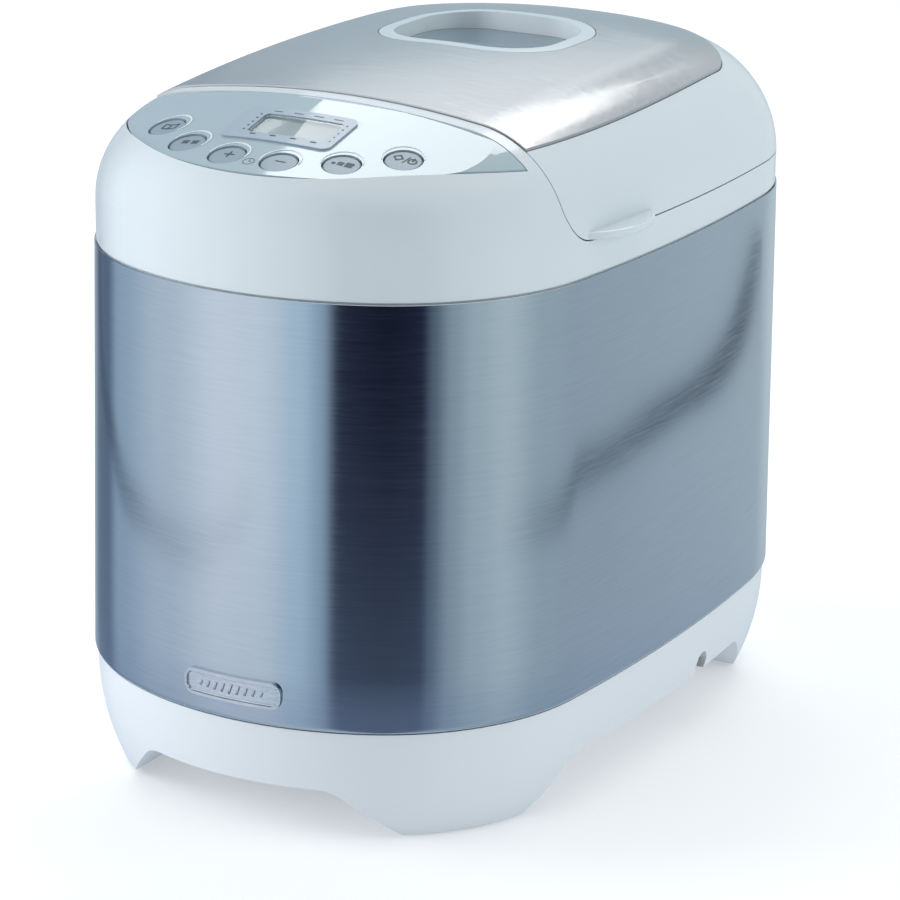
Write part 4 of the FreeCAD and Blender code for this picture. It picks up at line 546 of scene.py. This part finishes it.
def printed(name, outlines, node, body, material, raised=0.06 * MM):
    """Flat artwork in millimetres laid on the top of a CAD node, as a thin raised print."""
    surface = tree_of(node)
    build = bmesh.new()
    for outline in outlines:
        low, high = [], []
        for x, y in outline:
            hit = surface.ray_cast(Vector((x * MM, y * MM, 1.0)), Vector((0, 0, -1)))
            if hit[0] is None:
                low = []
                break
            low.append(build.verts.new(hit[0] - Vector((0, 0, 0.02 * MM))))
            high.append(build.verts.new(hit[0] + Vector((0, 0, raised))))
        if not low:
            continue
        build.faces.new(high)
        build.faces.new(low[::-1])
        for i in range(len(low)):
            j = (i + 1) % len(low)
            build.faces.new((low[i], low[j], high[j], high[i]))
    bmesh.ops.recalc_face_normals(build, faces=build.faces)
    mesh = bpy.data.meshes.new(name)
    build.to_mesh(mesh)
    build.free()
    return new_piece(name, mesh, body, material)


def middle(node):
    low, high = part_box(node)
    return (low.x + high.x) / 2 / MM, (low.y + high.y) / 2 / MM


def moved(outlines, x, y):
    return [[(x + u, y + v) for u, v in line] for line in outlines]


def button_marks():
    """Generic pictograms: a book, two loaves, plus, minus, a loaf in three sizes, start and stop."""
    book = stroke([(-3.2, 1.6), (0, 0.9), (3.2, 1.6), (3.2, -2.0), (0, -2.7), (-3.2, -2.0)], 0.85, True)
    book += stroke([(0, 0.9), (0, -2.7)], 0.8)

    def loaf(x, y, w, h):
        return [[(x - w, y - h), (x + w, y - h), (x + w, y), (x + 1.2 * w, y + 0.6 * h), (x + 0.8 * w, y + h),
                 (x - 0.8 * w, y + h), (x - 1.2 * w, y + 0.6 * h), (x - w, y)]]

    loaves = loaf(-2.3, 0, 1.5, 1.4) + loaf(2.3, 0, 1.5, 1.4)
    plus = stroke([(-2.0, 0), (2.0, 0)], 0.85) + stroke([(0, -2.0), (0, 2.0)], 0.85)
    minus = stroke([(-2.0, 0), (2.0, 0)], 0.85)
    sizes = loaf(-3.6, -0.9, 0.8, 0.8) + loaf(-0.6, -0.3, 1.3, 1.3) + loaf(3.2, 0.1, 1.7, 1.8)
    start = stroke([(-4.2, 0), (-2.2, 2.0), (-0.2, 0), (-2.2, -2.0)], 0.8, True)
    start += stroke([(0.9, -2.4), (1.9, 2.4)], 0.65)
    start += ring_band(4.1, 0, 1.3, 0.8, 24) + stroke([(4.1, 0.2), (4.1, 2.2)], 0.8)
    for key, art in (("menu", book), ("crust", loaves), ("plus", plus), ("minus", minus), ("size", sizes),
                     ("start", start)):
        node = "button_" + key
        x, y = middle(node)
        printed("mark_" + key, moved(art, x, y), node, node + "_body", print_grey)


def panel_marks():
    """A small clock under the plus button, and a pale ring round every button."""
    clock_y = middle("button_plus")[1] - 4.6
    clock = ring_band(0, clock_y, 2.2, 0.35, 28)
    clock += stroke([(0, clock_y), (0, clock_y + 1.5)], 0.3) + stroke([(0, clock_y), (1.1, clock_y)], 0.3)
    printed("mark_clock", clock, "control_panel", "housing", print_grey)
    for key in ("menu", "crust", "plus", "minus", "size", "start"):
        x, y = middle("button_" + key)
        printed("ring_" + key, ring_band(x, y, 8.35, 0.55, 56), "control_panel", "housing",
                print_light, 0.25 * MM)


def bezel_marks():
    """Short ticks and small dots round the display, in place of lettering."""
    lens_low, lens_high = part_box("display_lens")
    left, right = lens_low.x / MM, lens_high.x / MM
    rear, front = lens_high.y / MM, lens_low.y / MM
    art = []
    for i in range(4):
        x = left + 4.0 + i * (right - left - 8.0) / 3
        art += stroke([(x - 2.0, rear + 1.8), (x + 2.0, rear + 1.8)], 0.5)
        art += stroke([(x - 1.0, front - 1.7), (x + 1.0, front - 1.7)], 0.9)
    for i in range(5):
        y = front + 1.5 + i * (rear - front - 3.0) / 4
        art += [ring_outline(left - 2.2, y, 0.55, 12)]
        art += [ring_outline(right + 1.8, y, 0.45, 12)]
    printed("bezel_ticks", art, "display_bezel", "housing", print_grey)


button_marks()
panel_marks()
bezel_marks()


def plan_arcs(box_half_x, box_half_y):
    """Centres and radii of the three arcs in a quarter of the body's plan: nose, corner and side."""
    nose_flatness, corner_tuck, side_radius = 13.4 * MM, 18.5 * MM, 962.0 * MM
    nose_radius = box_half_x + nose_flatness
    corner_radius = box_half_x - corner_tuck
    nose = Vector((0.0, -box_half_y + nose_radius))
    side = Vector((box_half_x - side_radius, 0.0))
    to_nose, to_side = nose_radius - corner_radius, side_radius - corner_radius
    span = (nose - side).length
    along = (to_side ** 2 - to_nose ** 2 + span ** 2) / (2 * span)
    across = math.sqrt(to_side ** 2 - along ** 2)
    step = (nose - side) / span
    corner = side + step * along + Vector((step.y, -step.x)) * across
    return (nose, nose_radius), (corner, corner_radius), (side, side_radius)


def plan_points(box_half_x, box_half_y):
    """Evenly smooth points round the whole plan with their outward directions."""
    (nose, nose_r), (corner, corner_r), (side, side_r) = plan_arcs(box_half_x, box_half_y)
    to_nose = (corner - nose).normalized()
    to_side = (corner - side).normalized()
    turn_1, turn_2 = math.atan2(to_nose.y, to_nose.x), math.atan2(to_side.y, to_side.x)
    quarter = []
    for centre, radius, start, end, count in ((nose, nose_r, -math.pi / 2, turn_1, 30),
                                              (corner, corner_r, turn_1, turn_2, 44),
                                              (side, side_r, turn_2, 0.0, 40)):
        for i in range(count):
            turn = start + (end - start) * i / count
            way = Vector((math.cos(turn), math.sin(turn)))
            quarter.append((centre + way * radius, way))
    quarter.append((Vector((side.x + side_r, 0.0)), Vector((1.0, 0.0))))
    right = quarter + [(Vector((p.x, -p.y)), Vector((w.x, -w.y))) for p, w in quarter[-2::-1]]
    return right + [(Vector((-p.x, p.y)), Vector((-w.x, w.y))) for p, w in right[-2:0:-1]]


def steel_wrap():
    """The wrap as one smooth sheet: straight flared sides, a curled foot and a turned-in lip."""
    low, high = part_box("steel_wrap")
    flare, sheet, curl, lip = 2.3 * MM, 0.8 * MM, 3.0 * MM, 7.0 * MM
    proud = 0.7 * MM
    bends = 8
    sharp = math.radians(35)
    ring = plan_points(high.x - flare - proud, -low.y - flare - proud)
    tall = high.z - low.z

    def side(inset):
        """(outward offset, height) down the outside of a sheet moved inwards by inset."""
        radius = curl - inset
        centre = proud + flare - curl
        bend = []
        for k in range(bends + 1):
            turn = math.pi / 2 * k / bends
            bend.append((centre + radius * math.cos(turn), low.z + curl - radius * math.sin(turn)))
        rise = []
        for k in range(bends, 0, -1):
            up = k / bends
            rise.append((proud + flare * (1 - up) - inset, low.z + curl + (tall - curl) * up))
        return rise + bend

    outside = side(0.0) + [(proud + flare - lip, low.z)]
    inside = [(proud + flare - lip, low.z + sheet)] + side(sheet)[::-1]
    top_round = [(proud - 0.25 * sheet, high.z), (proud - 0.75 * sheet, high.z)]
    outside[0] = (proud, high.z - 0.2 * sheet)
    inside[-1] = (proud - sheet, high.z - 0.2 * sheet)
    profile = outside + inside + top_round[::-1]
    build = bmesh.new()
    columns = []
    for place, outward in ring:
        spots = [(place.x + outward.x * off, place.y + outward.y * off, z) for off, z in profile]
        columns.append([build.verts.new(spot) for spot in spots])
    for i, column in enumerate(columns):
        ahead = columns[(i + 1) % len(columns)]
        for k in range(len(profile)):
            n = (k + 1) % len(profile)
            build.faces.new((column[k], column[n], ahead[n], ahead[k]))
    bmesh.ops.recalc_face_normals(build, faces=build.faces)
    for face in build.faces:
        face.smooth = True
    for edge in build.edges:
        if edge.calc_face_angle(0.0) > sharp:
            edge.smooth = False
    mesh = bpy.data.meshes.new("steel_wrap_sheet")
    build.to_mesh(mesh)
    build.free()
    piece = new_piece("steel_wrap_sheet", mesh, "housing", wrap_steel)
    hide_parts("steel_wrap")


steel_wrap()


def badge_ornament():
    """A raised rim and a row of plain bars on the badge, with no lettering."""
    low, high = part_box("badge_plate")
    half_w, half_h = (high.x - low.x) / 2 - 1.6 * MM, (high.z - low.z) / 2 - 1.6 * MM
    cx, cz = (high.x + low.x) / 2, (high.z + low.z) / 2
    surface = tree_of("badge_plate")
    outward = Vector((0, -1, 0))
    turns = [math.pi * k / 5 for k in range(6)] + [1.5 * math.pi]
    build = bmesh.new()

    def on_face(x, z, lift):
        hit = surface.ray_cast(Vector((x, -1.0, z)), Vector((0, 1, 0)))
        return Vector((x, (hit[0].y if hit[0] else low.y) - lift, z))

    def tube(points, radius, closed):
        rings = []
        count = len(points)
        for i, (x, z) in enumerate(points):
            before = points[i - 1] if (i or closed) else points[i]
            after = points[(i + 1) % count] if (i < count - 1 or closed) else points[i]
            way = Vector((after[0] - before[0], 0, after[1] - before[1])).normalized()
            side = Vector((way.z, 0, -way.x))
            centre = on_face(x, z, 0.0)
            ring = []
            for t in turns:
                lift = outward * radius * 0.8 * max(math.sin(t), -0.2)
                ring.append(build.verts.new(centre + side * radius * math.cos(t) + lift))
            rings.append(ring)
        for i in range(count if closed else count - 1):
            a, b = rings[i], rings[(i + 1) % count]
            for k in range(7):
                build.faces.new((a[k], a[(k + 1) % 7], b[(k + 1) % 7], b[k]))
        if not closed:
            build.faces.new(rings[0][::-1])
            build.faces.new(rings[-1])

    corner = 2.2 * MM
    rim = []
    for sx, sz, start in ((1, 1, 0.0), (-1, 1, 0.5), (-1, -1, 1.0), (1, -1, 1.5)):
        arc_x, arc_z = cx + sx * (half_w - corner), cz + sz * (half_h - corner)
        for k in range(7):
            t = math.pi * (start + k / 12)
            rim.append((arc_x + corner * math.cos(t), arc_z + corner * math.sin(t)))
    dense = []
    for i, (x0, z0) in enumerate(rim):
        x1, z1 = rim[(i + 1) % len(rim)]
        pieces = max(1, int(math.hypot(x1 - x0, z1 - z0) / (1.5 * MM)))
        dense += [(x0 + (x1 - x0) * k / pieces, z0 + (z1 - z0) * k / pieces) for k in range(pieces)]
    tube(dense, 0.42 * MM, True)
    for k in range(-4, 5):
        x = cx + k * 3.6 * MM
        tall = (2.1 - 0.28 * abs(k)) * MM
        tube([(x - 0.35 * tall, cz - tall), (x, cz), (x + 0.35 * tall, cz + tall)], 0.55 * MM, False)
    bmesh.ops.recalc_face_normals(build, faces=build.faces)
    mesh = bpy.data.meshes.new("badge_ornament")
    build.to_mesh(mesh)
    build.free()
    for polygon in mesh.polygons:
        polygon.use_smooth = True
    new_piece("badge_ornament", mesh, "housing", badge_metal)


badge_ornament()
